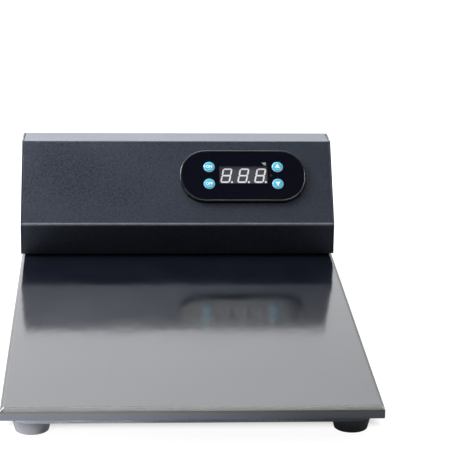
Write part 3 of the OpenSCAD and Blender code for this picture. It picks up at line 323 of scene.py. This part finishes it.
def lettering(name, words, height, place, body="station"):
    """Flat letters as a mesh, height in millimetres, centred on place, raised and made bolder a little."""
    curve = bpy.data.curves.new(name, "FONT")
    curve.body = words
    curve.align_x = "CENTER"
    curve.align_y = "CENTER"
    curve.size = height / CAPITAL_SHARE
    curve.extrude = PRINT_T / 2
    curve.offset = PRINT_WEIGHT * height
    text = bpy.data.objects.new(name, curve)
    mesh = bpy.data.meshes.new_from_object(text)
    bpy.data.objects.remove(text)
    mesh.transform(place)
    mesh.transform(Matrix.Scale(MM, 4))
    dress(shown(name, mesh), "mark_white", body)


# finishes

class Link:
    """An output of a node tree. Arithmetic signs add Math nodes."""

    def __init__(self, finish, socket):
        self.finish = finish
        self.socket = socket

    def beside(self, out):
        """Another output of the same node, by its name or number."""
        return Link(self.finish, self.socket.node.outputs[out])

    def __add__(self, other):
        return self.finish.calc("ADD", self, other)

    def __sub__(self, other):
        return self.finish.calc("SUBTRACT", self, other)

    def __rsub__(self, other):
        return self.finish.calc("SUBTRACT", other, self)

    def __mul__(self, other):
        return self.finish.calc("MULTIPLY", self, other)

    __radd__, __rmul__ = __add__, __mul__


class Finish:
    """A material or a world as a tree of nodes."""

    def __init__(self, name, owner=None):
        self.owner = owner or bpy.data.materials.new(name)
        self.owner.use_nodes = True
        self.tree = self.owner.node_tree
        self.tree.nodes.clear()

    def node(self, kind, values=None, out=0, **settings):
        """Adds a node, sets its settings, then gives its sockets their values or links."""
        made = self.tree.nodes.new(kind)
        for key, value in settings.items():
            setattr(made, key, value)
        for key, value in (values or {}).items():
            socket = made.inputs[key]
            if isinstance(value, Link):
                self.tree.links.new(value.socket, socket)
            else:
                socket.default_value = value
        return Link(self, made.outputs[out])

    def calc(self, operation, *values):
        """One Math node."""
        return self.node("ShaderNodeMath", dict(enumerate(values)), operation=operation)

    def split(self, vector):
        """The three parts of a vector."""
        x = self.node("ShaderNodeSeparateXYZ", {"Vector": vector})
        return x, x.beside(1), x.beside(2)

    def place(self, stretch=(1, 1, 1)):
        """Object coordinates in millimetres, stretched."""
        at = self.node("ShaderNodeTexCoord", out="Object")
        scale = tuple(s / MM for s in stretch)
        return self.node("ShaderNodeMapping", {"Vector": at, "Scale": scale})

    def axes(self):
        """Object coordinates in millimetres, one by one."""
        return self.split(self.place())

    def noise(self, size, detail=2.0, stretch=(1, 1, 1), rough=0.5):
        """Noise with features about size millimetres across, from 0 to 1."""
        return self.node("ShaderNodeTexNoise", {
            "Vector": self.place(stretch), "Scale": 1 / size, "Detail": detail, "Roughness": rough})

    def spread(self, value, low, high, start=0.3, end=0.7, smooth=False):
        """value from start to end as a number from low to high, in a straight line or smoothly."""
        return self.node("ShaderNodeMapRange", {
            "Value": value, "From Min": start, "From Max": end, "To Min": low, "To Max": high},
            interpolation_type="SMOOTHSTEP" if smooth else "LINEAR")

    def blend(self, factor, a, b):
        """A colour between a and b."""
        return self.node("ShaderNodeMix", {"Factor": factor, 6: a, 7: b}, out=2, data_type="RGBA")

    def bump(self, height, depth, normal=None):
        """A Bump node for relief of depth millimetres."""
        values = {"Height": height, "Strength": 1.0, "Distance": depth * MM}
        if normal is not None:
            values["Normal"] = normal
        return self.node("ShaderNodeBump", values)

    def close(self, **values):
        """The surface shader, with its sockets named by keywords."""
        named = {key.replace("_", " ").title().replace("Ior", "IOR"): value for key, value in values.items()}
        self.end(self.node("ShaderNodeBsdfPrincipled", named))
        return self.owner

    def end(self, shader, kind="ShaderNodeOutputMaterial"):
        """Joins the last shader to the output."""
        out = self.tree.nodes.new(kind)
        self.tree.links.new(shader.socket, out.inputs["Surface"])


def rgb(r, g, b):
    """An opaque colour."""
    return (r, g, b, 1.0)


def coated_plate():
    """Dark glossy coating with a slow waviness and faint wiped haze; sides and chamfer are milled bare.

    The right-hand chamfer is painted brighter as a painted highlight, and the two left-hand corners are
    painted darker as painted shade.
    """
    f = Finish("plate_coated")
    x, y, z = f.axes()
    middle = (plate_high + plate_low) / 2
    inner = plate_high - middle - PLATE_CHAMFER
    over_x = f.calc("ABSOLUTE", x - middle[0]) - inner[0]
    over_y = f.calc("ABSOLUTE", y - middle[1]) - inner[1]
    edge_x = f.spread(over_x, 0, 0.25, -0.05, 0.25)
    side_x = f.spread(over_x, 0, 0.75, PLATE_CHAMFER - 0.2, PLATE_CHAMFER)
    edge_y = f.spread(over_y, 0, 1, -0.05, 0.25)
    milled = f.calc("MAXIMUM", edge_x + side_x, edge_y)
    streak = f.noise(0.5, 3, (1, 0.05, 1))
    mill = f.noise(0.25, 3, (0.05, 0.05, 1))
    cloud = f.noise(30, 3)
    wave = f.noise(16, 2, (1, 0.5, 1))
    haze = f.spread(cloud * 0.6 + streak * 0.4, 0, 1)
    coat = f.blend(haze, rgb(0.0026, 0.0035, 0.0068), rgb(0.0054, 0.0066, 0.0108))
    bare = f.blend(f.spread(mill, 0, 1), rgb(0.37, 0.373, 0.373), rgb(0.47, 0.473, 0.473))
    # painted highlight: the right-hand chamfer is painted paler, as if more light fell on it
    right = f.spread(x, 0, 1, -20, 20) * f.spread(over_y, 1, 0, -0.3, 0.3)
    bare = f.blend(right, bare, rgb(0.80, 0.81, 0.81))
    # painted shade: the two left-hand chamfer corners are painted darker to dull a glint
    both = f.spread(over_x, 0, 1, 0, 0.5) * f.spread(over_y, 0, 1, 0, 0.5)
    corner = both * f.spread(x, 1, 0, -20, 20)
    bare = f.blend(corner, bare, rgb(0.20, 0.203, 0.203))
    shoulder = plate_high[2] - PLATE_CHAMFER
    sides = f.spread(z, 1, 0, shoulder - 0.2, shoulder + 0.2)
    lower = f.spread(z, 1, 0, plate_low[2] + BLUER_BELOW[0], plate_low[2] + BLUER_BELOW[1])
    side = f.blend(lower, rgb(0.205, 0.205, 0.213), rgb(0.180, 0.195, 0.235))
    side = f.blend(f.spread(mill, 0.25, 0), side, rgb(0.10, 0.10, 0.105))
    bare = f.blend(sides, bare, side)
    colour = f.blend(milled, coat, bare)
    gloss = f.spread(streak, 0.085, 0.115) + f.spread(cloud, -0.015, 0.02)
    roughness = f.blend(milled, gloss, f.spread(mill, 0.36, 0.46))
    grain = f.bump(f.blend(milled, streak * 0.3, mill), 0.004)
    normal = f.bump(wave, 0.10, grain)
    return f.close(base_color=colour, metallic=milled, roughness=roughness, normal=normal)


def powder_coat(name, dark, light, depth, gloss, ridge=None):
    """Powder coat: close round grains, a slow drift of tone, and a ridge made smoother and painted paler as
    a painted highlight.
    """
    f = Finish(name)
    grain = f.noise(1.3, 2.5, rough=0.6)
    ripple = f.noise(2.6, 2)
    drift = f.noise(45, 3)
    colour = f.blend(f.spread(grain, 0, 1, 0.36, 0.64), dark, light)
    colour = f.blend(f.spread(drift, 0, 0.25), colour, light)
    roughness = f.spread(grain, gloss - 0.05, gloss + 0.07) + f.spread(drift, -0.03, 0.03)
    if ridge:
        _, y, z = f.axes()
        away = f.calc("MAXIMUM", f.calc("ABSOLUTE", y - ridge[0]), f.calc("ABSOLUTE", z - ridge[1]))
        ridge_smoothing_and_painted_highlight = f.spread(away, 1, 0, 0.5, 1.4) * f.spread(f.noise(9, 3), 0.75, 1)
        # painted highlight: the ridge's colour is painted paler along the bend
        colour = f.blend(ridge_smoothing_and_painted_highlight, colour, rgb(0.30, 0.31, 0.35))
        roughness = roughness - ridge_smoothing_and_painted_highlight * 0.22
    normal = f.bump(grain + ripple * 0.8, depth)
    return f.close(base_color=colour, roughness=roughness, normal=normal, specular_tint=rgb(0.74, 0.84, 1.0),
                   specular_ior_level=0.65)


def moulded(name, colour, rough=0.4, grain_size=0.3, depth=0.006, mottle=0.12, **more):
    """Moulded plastic or rubber: fine spark-eroded grain and a slow change of tone."""
    f = Finish(name)
    grain = f.noise(grain_size, 2)
    cloud = f.noise(14, 3)
    paler = rgb(*(min(1.0, c * (1 + 2 * mottle) + 0.004) for c in colour))
    tone = f.blend(f.spread(cloud * 0.6 + grain * 0.4, 0, 1), rgb(*colour), paler)
    roughness = f.spread(grain, rough - 0.04, rough + 0.06) + f.spread(cloud, -0.03, 0.03)
    normal = f.bump(grain, depth)
    return f.close(base_color=tone, roughness=roughness, normal=normal, **more)


def plated(name, colour, rough=0.28, stretch=(1, 1, 1)):
    """Plated or drawn metal: faint clouds and fine scratches."""
    f = Finish(name)
    scratch = f.noise(0.18, 3, stretch)
    cloud = f.noise(6, 3)
    tone = f.blend(f.spread(cloud, 0, 1), rgb(*colour), rgb(*(c * 0.82 for c in colour)))
    roughness = f.spread(scratch, rough - 0.05, rough + 0.08) + f.spread(cloud, -0.03, 0.05)
    normal = f.bump(scratch, 0.002)
    return f.close(base_color=tone, metallic=1.0, roughness=roughness, normal=normal)


def gloss_film():
    """Glossy printed film: near black, with a faint ripple of the plastic under it."""
    f = Finish("film_gloss")
    ripple = f.noise(9, 2)
    dust = f.noise(0.5, 2)
    colour = f.blend(f.spread(dust, 0, 1), rgb(0.0022, 0.0027, 0.0072), rgb(0.0042, 0.0049, 0.0115))
    roughness = f.spread(dust, 0.07, 0.12) + f.spread(ripple, 0, 0.03)
    normal = f.bump(ripple, 0.01)
    return f.close(base_color=colour, roughness=roughness, normal=normal, specular_ior_level=0.4)


def key_plastic():
    """Glossy sky-blue key with a faint flow of the colour, its side painted paler as a painted highlight,
    and a faint painted glow.
    """
    f = Finish("key_blue")
    flow = f.noise(1.6, 2)
    _, y, z = f.axes()
    rise = (z - panel_z) * math.cos(slope_a) - (y - panel_y) * math.sin(slope_a)
    colour = f.blend(f.spread(flow, 0, 1), rgb(0.055, 0.355, 0.54), rgb(0.088, 0.45, 0.63))
    # painted highlight: the key's side, below its crown, is painted paler
    colour = f.blend(f.spread(rise, 1, 0, FILM_TOP + 0.3, KEY_TOP - 0.2), colour, rgb(0.30, 0.66, 0.80))
    normal = f.bump(f.noise(0.9, 1), 0.002)
    roughness = f.spread(flow, 0.12, 0.2)
    # painted glow: the key glows a little, though it is no lamp
    return f.close(base_color=colour, roughness=roughness, normal=normal, coat_weight=0.6,
                   coat_roughness=0.08, emission_color=colour, emission_strength=0.5)


def smoked_window():
    """Smoked clear plastic over the display, with a faint haze."""
    f = Finish("window_smoked")
    haze = f.noise(1.2, 2)
    alpha = f.spread(haze, 0.22, 0.27)
    roughness = f.spread(haze, 0.05, 0.1)
    return f.close(base_color=rgb(0.16, 0.155, 0.19), roughness=roughness, alpha=alpha)


def display_face():
    """The display's own face: matt lilac grey with a fine printed grain."""
    f = Finish("display_face")
    grain = f.noise(0.35, 2)
    colour = f.blend(f.spread(grain, 0, 1), rgb(0.033, 0.032, 0.044), rgb(0.072, 0.070, 0.092))
    return f.close(base_color=colour, roughness=f.spread(grain, 0.5, 0.65))


def lit_segment():
    """White diffuser over the light of a segment, with soft brighter cores."""
    f = Finish("segment_lit")
    core = f.noise(1.1, 2)
    colour = f.blend(f.spread(core, 0, 1), rgb(0.88, 0.88, 0.91), rgb(0.97, 0.97, 0.98))
    roughness = f.spread(core, 0.4, 0.5)
    return f.close(base_color=colour, roughness=roughness, emission_color=colour, emission_strength=0.85)


PAN_TONES = (rgb(0.22, 0.223, 0.248), rgb(0.27, 0.273, 0.302))
COVER_TONES = (rgb(0.013, 0.0165, 0.027), rgb(0.033, 0.038, 0.055))
COVER_RIDGE = (box_y + 0.3, box_z + FRONT_H - 0.1)
MARK_TONE = (0.86, 0.88, 0.90)

# one finish for each material slot of the record

FINISHES = {
    "plate": coated_plate(),
    "pan_paint": powder_coat("pan_paint", *PAN_TONES, 0.02, 0.33),
    "zinc": plated("zinc", (0.55, 0.56, 0.58)),
    "silicone": moulded("silicone_mat", (0.36, 0.05, 0.03), 0.55, 0.8, 0.05),
    "fibre": moulded("fibre_pad", (0.72, 0.69, 0.62), 0.9, 0.6, 0.12),
    "foot_rubber": moulded("rubber", (0.100, 0.102, 0.117), 0.5, 0.35, 0.02),
    "probe_steel": plated("probe_steel", (0.6, 0.6, 0.61), 0.22),
    "bakelite": moulded("bakelite", (0.03, 0.026, 0.024), 0.35),
    "gasket": moulded("gasket", (0.012, 0.012, 0.013), 0.8, 0.4, 0.03),
    "floor_steel": plated("floor_steel", (0.5, 0.51, 0.53), 0.35),
    "cover_paint": powder_coat("cover_paint", *COVER_TONES, 0.060, 0.37, COVER_RIDGE),
    "black_screw": plated("black_screw", (0.05, 0.05, 0.053), 0.3),
    "inlet_plastic": moulded("inlet_plastic", (0.016, 0.016, 0.018), 0.45, 0.25, 0.02),
    "brass": plated("brass", (0.72, 0.60, 0.34), 0.25),
    "fuse_glass": moulded("fuse_glass", (0.8, 0.88, 0.88), 0.08, 2.0, 0.001, alpha=0.35),
    "rocker_plastic": moulded("rocker_plastic", (0.42, 0.012, 0.01), 0.16, 3.0, 0.003, 0.1, coat_weight=0.4),
    "bezel_plastic": moulded("bezel_plastic", (0.0065, 0.0075, 0.0130), 0.23, 0.8, 0.002, 0.2),
    "film": gloss_film(),
    "window": smoked_window(),
    "display_grey": display_face(),
    "segment": lit_segment(),
    "status": moulded("status_lens", (0.030, 0.006, 0.008), 0.25, 0.6, 0.002),
    "button_blue": key_plastic(),
    # painted glow: the printed marks glow a little, though they are no lamp
    "mark_white": moulded("mark_white", MARK_TONE, 0.5, 0.3, 0.002, 0.02,
                          emission_color=rgb(*MARK_TONE), emission_strength=0.35),
    "switch_plastic": moulded("switch_plastic", (0.03, 0.03, 0.032), 0.5),
    "board_green": moulded("solder_mask", (0.02, 0.12, 0.05), 0.3, 1.5, 0.01),
    "case_plastic": moulded("case_plastic", (0.018, 0.018, 0.02), 0.5, 0.3, 0.02),
    "lamination": plated("lamination", (0.2, 0.2, 0.21), 0.45, (1, 1, 0.02)),
    "coil_tape": moulded("coil_tape", (0.62, 0.46, 0.08), 0.35, 3.0, 0.02),
    "relay_blue": moulded("relay_blue", (0.02, 0.12, 0.36), 0.3),
    "capacitor_sleeve": moulded("capacitor_sleeve", (0.015, 0.015, 0.035), 0.25, 2.0, 0.01),
    "block_green": moulded("block_green", (0.03, 0.24, 0.09), 0.45),
    "lead_white": moulded("lead_white", (0.68, 0.67, 0.62), 0.7, 0.5, 0.04),
    "lead_grey": moulded("lead_grey", (0.17, 0.17, 0.18), 0.4),
    "lead_brown": moulded("lead_brown", (0.11, 0.035, 0.014), 0.4),
}
for part in frame["record"]["subparts"]:
    materials = NODES[part["node"]].data.materials
    materials.clear()
    materials.append(FINISHES[part["material_slot"]])


# plate, pan and feet

def make_plate():
    """Loops of the plate's outline carried up a profile: lower edge, upright side, chamfer, flat top.

    A narrow ring beside the edge of each flat face keeps its shading flat.
    """
    low, top = plate_low[2], plate_high[2]
    under_r, chamfer_r = 0.3, 0.4
    rows = rounded(
        [(PLATE_FACE_INSET, low), (0, low), (0, top - PLATE_CHAMFER),
         (PLATE_CHAMFER, top), (PLATE_FACE_INSET, top)],
        [0, under_r, chamfer_r, chamfer_r, 0], steps=4)
    rings = [[EDGE_RING, low], [PLATE_CHAMFER + EDGE_RING, top]]
    rows = np.insert(rows, [1, len(rows) - 1], rings, axis=0)
    grid = boxed(plate_low, plate_high, rows, PLATE_CORNER_R, steps=4)
    piece("plate_body", skin(grid), "plate", "heating_plate")


def make_pan():
    """Loops of the pan's outline carried round the section of a tray."""
    low, top = pan_low[2], pan_high[2]
    tray = low + PAN_SHEET
    bend_r, lip_r, inner_r = 1.4, 0.2, 0.4
    rows = rounded(
        [(PAN_FLOOR_INSET, low), (0, low), (0, top),
         (PAN_SHEET, top), (PAN_SHEET, tray), (PAN_FLOOR_INSET, tray)],
        [0, bend_r, lip_r, lip_r, inner_r, 0], steps=5)
    grid = boxed(pan_low, pan_high, rows, PAN_CORNER_R, steps=14)
    piece("pan_tray", skin(grid), "pan_paint", "base_pan")


def make_foot(node):
    """A tapered rubber foot turned from a closed section with rounded lips."""
    low, high = box_of(node)
    h = high[2] - low[2]
    lips = [0.15, 0.4, 0.5, 0.6, 0.4, 0.2]
    section = rounded(
        [(FOOT_BORE_R, h), (FOOT_TOP_R, h), (FOOT_BOTTOM_R, 0), (FOOT_RECESS_R, 0),
         (FOOT_RECESS_R, FOOT_RECESS_H), (FOOT_BORE_R, FOOT_RECESS_H)],
        lips, steps=6, closed=True)
    place = Matrix.Translation(((low[0] + high[0]) / 2, (low[1] + high[1]) / 2, low[2]))
    piece(node + "_rubber", skin(lathed(section), ring=True), "foot_rubber", node, place=place)


make_plate()
make_pan()
for corner in ("front_left", "front_right", "rear_left", "rear_right"):
    make_foot("foot_" + corner)


# control box

def side_line(t):
    """Side profile of the box drawn in by t: upright front, ridge, slope, level top and rear lip."""
    outer = np.array([(0, 0), (0, FRONT_H), (brow, box_h), (box_d, box_h), (box_d, box_h - RETURN_W)])
    ridge, top = math.tan((math.pi / 2 - slope_a) / 2), math.tan(slope_a / 2)
    inner = outer + t * np.array([(1, 0), (1, -ridge), (top, -1), (-1, -1), (-1, 0)])
    r = BEND_R - t
    return rounded(inner, [0, r, r, r, 0], BEND_STEPS)


def split_run(line, index, shares):
    """A line with new points on the run after point index, at shares of its length."""
    a, b = line[index], line[index + 1]
    extra = a + (b - a) * np.array(shares)[:, None]
    return np.insert(line, index + 1, extra, axis=0)


def half_width(y):
    """Half the width of the box at a depth: straight sides, then the round rear corners."""
    past = np.clip(y - (box_d - CORNER_R), 0, CORNER_R)
    return box_w / 2 - CORNER_R + np.sqrt(np.maximum(CORNER_R ** 2 - past ** 2, 0))


def make_folded_front():
    """Front, slope, top and rear lip as one folded sheet: the side line carried across the width.

    The sheet ends a seam short of the side plates and leaves out the thermostat's opening.
    """
    slope_run = brow / math.cos(slope_a)
    slope_start = BEND_STEPS + 1
    half_w, half_h = SLEEVE_W / 2 + OPENING_GAP, SLEEVE_H / 2 + OPENING_GAP
    shares = [(PANEL_UP - half_h) / slope_run, (PANEL_UP + half_h) / slope_run]
    grids = []
    for t in (0, SHEET):
        line = split_run(side_line(t), slope_start, shares)
        edge = half_width(line[:, 0]) - SHEET - SEAM
        left, right = np.full_like(edge, panel_x - half_w), np.full_like(edge, panel_x + half_w)
        x = np.stack([-edge, left, right, edge], axis=1)
        y = np.broadcast_to(line[:, :1] + box_y, x.shape)
        z = np.broadcast_to(line[:, 1:] + box_z, x.shape)
        grids.append(np.stack([x, y, z], axis=2))
    keep = np.ones((len(grids[0]) - 1, 3), bool)
    keep[slope_start + 1, 1] = False
    return sheet_skin(*grids, keep)


def side_plan(t):
    """Plan of a side plate drawn in by t: along the side, round the rear corner and in along the rear."""
    outer = np.array([(box_w / 2, 0), (box_w / 2, box_d), (box_w / 2 - RETURN_W, box_d)])
    inner = outer + t * np.array([(-1, 0), (-1, -1), (0, -1)])
    line = rounded(inner, [0, CORNER_R - t, 0], BEND_STEPS)
    along = [(box_w / 2 - t, y) for y in (SIDE_LEAD, brow / 2, brow)]
    return np.insert(line, 1, along, axis=0)


def roof(y):
    """Height of the side plate's upper edge at a depth: the slope, the level top, and its rear bend."""
    slope = FRONT_H + y * math.tan(slope_a)
    past = np.clip(y - (box_d - BEND_R), 0, BEND_R)
    top = box_h - BEND_R + np.sqrt(np.maximum(BEND_R ** 2 - past ** 2, 0))
    return np.minimum(slope, top)


def make_side(sign):
    """A side plate: its plan carried upwards to the edge that follows ridge, slope and top.

    Its front corner stays a little under the ridge, where the sheet bends, and its rear end a seam
    under the lip.
    """
    height = roof(side_plan(0)[:, 1])
    height[0] = FRONT_H - SIDE_DROP
    height[-1] = box_h - RETURN_W - SEAM
    share = np.array([0, 0.5, 1.0])[:, None]
    z = share * height + box_z
    grids = []
    for t in (0, SHEET):
        plan = side_plan(t)
        x = np.broadcast_to(plan[:, 0] * sign, z.shape)
        y = np.broadcast_to(plan[:, 1] + box_y, z.shape)
        grids.append(np.stack([x, y, z], axis=2))
    keep = np.ones((2, len(height) - 1), bool)
    return sheet_skin(*grids, keep)


piece("cover_folded", joined(make_folded_front(), make_side(-1), make_side(1)),
      "cover_paint", "control_cover", edge=0.22)


# thermostat

def make_bezel():
    """Loops carried round the section of the moulding: outer wall, rim, film pocket, sleeve in and out."""
    outer_r, inner_r = 0.85, 0.6
    corners = [(0, 0), (0, BEZEL_T), (RIM_W, BEZEL_T), (RIM_W, FILM_Z)]
    crest = rounded(corners, [0, outer_r, inner_r, 0], steps=7)
    loops = [lifted(loop(BEZEL_W - 2 * i, BEZEL_H - 2 * i, BEZEL_R - i, OVAL_STEPS), z) for i, z in crest]
    inside = loop(SLEEVE_W - 2 * SLEEVE_T, SLEEVE_H - 2 * SLEEVE_T, SLEEVE_R, OVAL_STEPS)
    outside = loop(SLEEVE_W, SLEEVE_H, SLEEVE_R, OVAL_STEPS)
    loops += [lifted(inside, z) for z in (FILM_Z, -SLEEVE_D)]
    loops += [lifted(outside, z) for z in (-SLEEVE_D, 0)]
    return skin(np.stack(loops), ring=True)


def make_front_wall():
    """The wall behind the film: a flat sheet with openings for the window, the keys and the light.

    Its cells lie between all the openings' edges, and those inside an opening are left out.
    """
    end_x, end_y = SLEEVE_W / 2 - SLEEVE_T, SLEEVE_H / 2 - SLEEVE_T
    hole = KEY_R + KEY_GAP
    half_w, half_h = WINDOW_W / 2 + WINDOW_GAP, WINDOW_H / 2 + WINDOW_GAP
    key_x = [s * KEY_X + e * hole for s in (-1, 1) for e in (-1, 1)]
    key_y = [KEY_UP + s * KEY_PITCH / 2 + e * hole for s in (-1, 1) for e in (-1, 1)]
    light_x = [LIGHT_X - LIGHT_HALF, LIGHT_X + LIGHT_HALF]
    light_y = [KEY_UP - LIGHT_HALF, KEY_UP + LIGHT_HALF]
    xs = np.unique([-end_x, end_x, -half_w, half_w, *key_x, *light_x])
    ys = np.unique([-end_y, end_y, WINDOW_UP - half_h, WINDOW_UP + half_h, *key_y, *light_y])
    x, y = np.meshgrid(xs, ys)
    cx, cy = (x[:-1, :-1] + x[1:, 1:]) / 2, (y[:-1, :-1] + y[1:, 1:]) / 2
    in_window = (abs(cx) < half_w) & (abs(cy - WINDOW_UP) < half_h)
    in_light = (abs(cx - LIGHT_X) < LIGHT_HALF) & (abs(cy - KEY_UP) < LIGHT_HALF)
    in_key = (abs(abs(cx) - KEY_X) < hole) & (abs(abs(cy - KEY_UP) - KEY_PITCH / 2) < hole)
    keep = ~(in_window | in_light | in_key)
    outer, inner = (np.stack([x, y, np.full_like(x, z)], axis=2) for z in (FILM_Z, WALL_Z))
    return sheet_skin(outer, inner, keep)


def key_place(side, row, down=0.0, z=0.0):
    """Where a key's axis meets the slope, moved down the slope and out of it."""
    return ON_SLOPE @ Matrix.Translation((side * KEY_X, KEY_UP + row * KEY_PITCH / 2 - down, z))


def make_key(node, body, side, row):
    """A key turned from a section: crowned cap with a soft rim, collar under the film, stem below."""
    shoulder = KEY_TOP - KEY_CROWN
    corners = [(KEY_R, COLLAR_TOP), (KEY_R, shoulder), (POLE_R, KEY_TOP)]
    cap = rounded(corners, [0, KEY_RIM_R, 0], steps=8)[:-1]
    rim_r, rim_z = cap[-1]
    share = np.linspace(1, 0, 10)[1:-1]
    dome = np.column_stack([rim_r * share, rim_z + (KEY_TOP - rim_z) * (1 - share ** 2)])
    section = np.concatenate([
        [(POLE_R, STEM_LOW), (STEM_R, STEM_LOW), (STEM_R, COLLAR_LOW)],
        [(COLLAR_R, COLLAR_LOW), (COLLAR_R, COLLAR_TOP)],
        cap, dome, [(POLE_R, KEY_TOP)]])
    piece(node + "_cap", skin(lathed(section)), "button_blue", node, body, key_place(side, row))


piece("bezel_moulding", joined(make_bezel(), make_front_wall()), "bezel_plastic", "bezel", place=ON_SLOPE)
make_key("button_upper_left", "upper_left_button", -1, 1)
make_key("button_lower_left", "lower_left_button", -1, -1)
make_key("button_raise", "raise_button", 1, 1)
make_key("button_lower", "lower_button", 1, -1)

# generic marks: a word on each left-hand key, and the unit above the display

for words, body, row in (("ON", "upper_left_button", 1), ("OFF", "lower_left_button", -1)):
    spot = key_place(-1, row, WORD_DROP, KEY_TOP + PRINT_LIFT)
    lettering("print_" + words.lower(), words, WORD_H, spot, body)
spot = ON_SLOPE @ Matrix.Translation((UNIT_X, UNIT_UP, FILM_TOP + PRINT_LIFT))
lettering("print_unit", "°C", UNIT_H, spot)


# rear

softened("rear_panel", "cover_paint", edge=0.25)
softened("inlet_body", "inlet_plastic", edge=0.5, segments=3)
softened("fuse_drawer", "inlet_plastic", "fuse_drawer")
softened("power_rocker", "rocker_plastic", "power_rocker", 0.4, 3)


# studio

def hang(name, watts, place, aim, size, spread=180):
    """A rectangular lamp at place, turned to aim, that shines within spread degrees."""
    light = bpy.data.lights.new(name, "AREA")
    light.energy = watts
    light.spread = math.radians(spread)
    light.shape = "RECTANGLE"
    light.size, light.size_y = size
    lamp = shown(name, light)
    lamp.location = place
    lamp.rotation_euler = (Vector(aim) - Vector(place)).to_track_quat("-Z", "Y").to_euler()


def make_world():
    """White where the camera looks; for reflections bright low behind the object and dim in front."""
    world = bpy.data.worlds.new("studio")
    bpy.context.scene.world = world
    f = Finish("studio", world)
    x, y, z = f.split(f.node("ShaderNodeTexCoord", out="Generated"))
    back = f.spread(y, 0.03, 2.38, -0.05, 0.80, smooth=True)
    left = f.spread(x, 1.2, 0.8, -0.2, 0.2)
    up = f.spread(z, 0.25, 1.0, 0.0, 0.24, smooth=True) * f.spread(z, 1.0, 2.0, 0.36, 0.62)
    lamp = f.node("ShaderNodeBackground", {"Color": rgb(0.97, 0.98, 1.0), "Strength": back * left * up})
    white = f.node("ShaderNodeBackground", {"Color": rgb(1, 1, 1), "Strength": 1.0})
    camera = f.node("ShaderNodeLightPath", out="Is Camera Ray")
    f.end(f.node("ShaderNodeMixShader", {0: camera, 1: lamp, 2: white}), "ShaderNodeOutputWorld")


def make_floor():
    """A pale floor that shows white with a painted shadow near the plate, keeps the object's shadow, and in
    reflections glows brighter to the left as painted light.
    """
    half = 8.0
    side_margin = 22
    corners = [(-half, -half, 0), (half, -half, 0), (half, half, 0), (-half, half, 0)]
    mesh = bpy.data.meshes.new("floor")
    mesh.from_pydata(corners, [], [(0, 1, 2, 3)])
    floor = shown("floor", mesh)
    f = Finish("floor_pale")
    x, y, _ = f.axes()
    seen = f.node("ShaderNodeLightPath", out="Is Camera Ray")
    mirrored = seen.beside("Is Glossy Ray") + seen.beside("Is Transmission Ray")
    # painted light: in reflections the floor glows brighter to the left and fades far in front and behind
    left = f.spread(x, 1.0, 0.06, -90, 110, smooth=True)
    past_x = f.calc("ABSOLUTE", x) - plate_high[0] - side_margin
    past_y = f.calc("ABSOLUTE", y) - plate_high[1]
    aside = f.calc("MAXIMUM", past_x, past_y)
    # painted shadow: seen by the camera, the floor glows less near and under the plate
    white_with_painted_shadow = f.spread(aside, 0.20, 0.95, -41, -15, smooth=True) + f.spread(aside, 0.0, 0.1, 20, 200)
    behind = f.spread(y, 1.0, 0.4, 150, 500) * f.spread(y, 0.1, 1.0, -650, -350)
    glow = seen * white_with_painted_shadow + mirrored * left * behind * 0.9
    diffuse = f.node("ShaderNodeBsdfDiffuse", {"Color": rgb(0.21, 0.21, 0.21)})
    emission = f.node("ShaderNodeEmission", {"Color": rgb(1, 1, 1), "Strength": glow})
    f.end(f.node("ShaderNodeAddShader", {0: diffuse, 1: emission}))
    mesh.materials.append(f.owner)


def make_camera():
    """The photograph's view: a long lens, a little to the left, looking down."""
    pitch, yaw, roll = (math.radians(v) for v in (17.094, 3.680, -1.023))
    forward = Vector((math.sin(yaw) * math.cos(pitch), math.cos(yaw) * math.cos(pitch), -math.sin(pitch)))
    level = Vector((math.cos(yaw), -math.sin(yaw), 0))
    below = forward.cross(level)
    right = math.cos(roll) * level + math.sin(roll) * below
    down = math.cos(roll) * below - math.sin(roll) * level
    data = bpy.data.cameras.new("camera")
    data.lens, data.sensor_width = 151.1, 36
    data.clip_start, data.clip_end = 0.05, 50
    camera = shown("camera", data)
    turn = Matrix((right, -down, -forward)).transposed()
    camera.matrix_world = Matrix.Translation((-0.0492, -1.3271, 0.4824)) @ turn.to_4x4()
    bpy.context.scene.camera = camera


make_world()
make_floor()
make_camera()
hang("overhead", 4.6, (-0.08, 0.44, 1.40), (0, 0.05, 0), (0.56, 0.5))
hang("front", 1.0, (-0.45, -1.7, 1.0), (0, 0, 0.05), (1.2, 0.2))
hang("side", 5.6, (-0.46, 0.20, 0.50), (-0.12, 0.12, 0.05), (0.26, 0.20))
hang("bar", 0.72, (0.04, -0.38, 0.80), (0.00, -0.13, 0.03), (0.9, 0.08))
hang("low", 0.05, (-0.34, -0.40, 0.012), (-0.115, -0.185, -0.010), (0.12, 0.016), spread=10)
hang("lip", 0.005, (-0.18, -0.55, 0.012), (-0.04, -0.188, 0.000), (0.20, 0.012), spread=6)
bpy.context.scene.view_settings.view_transform = "Standard"
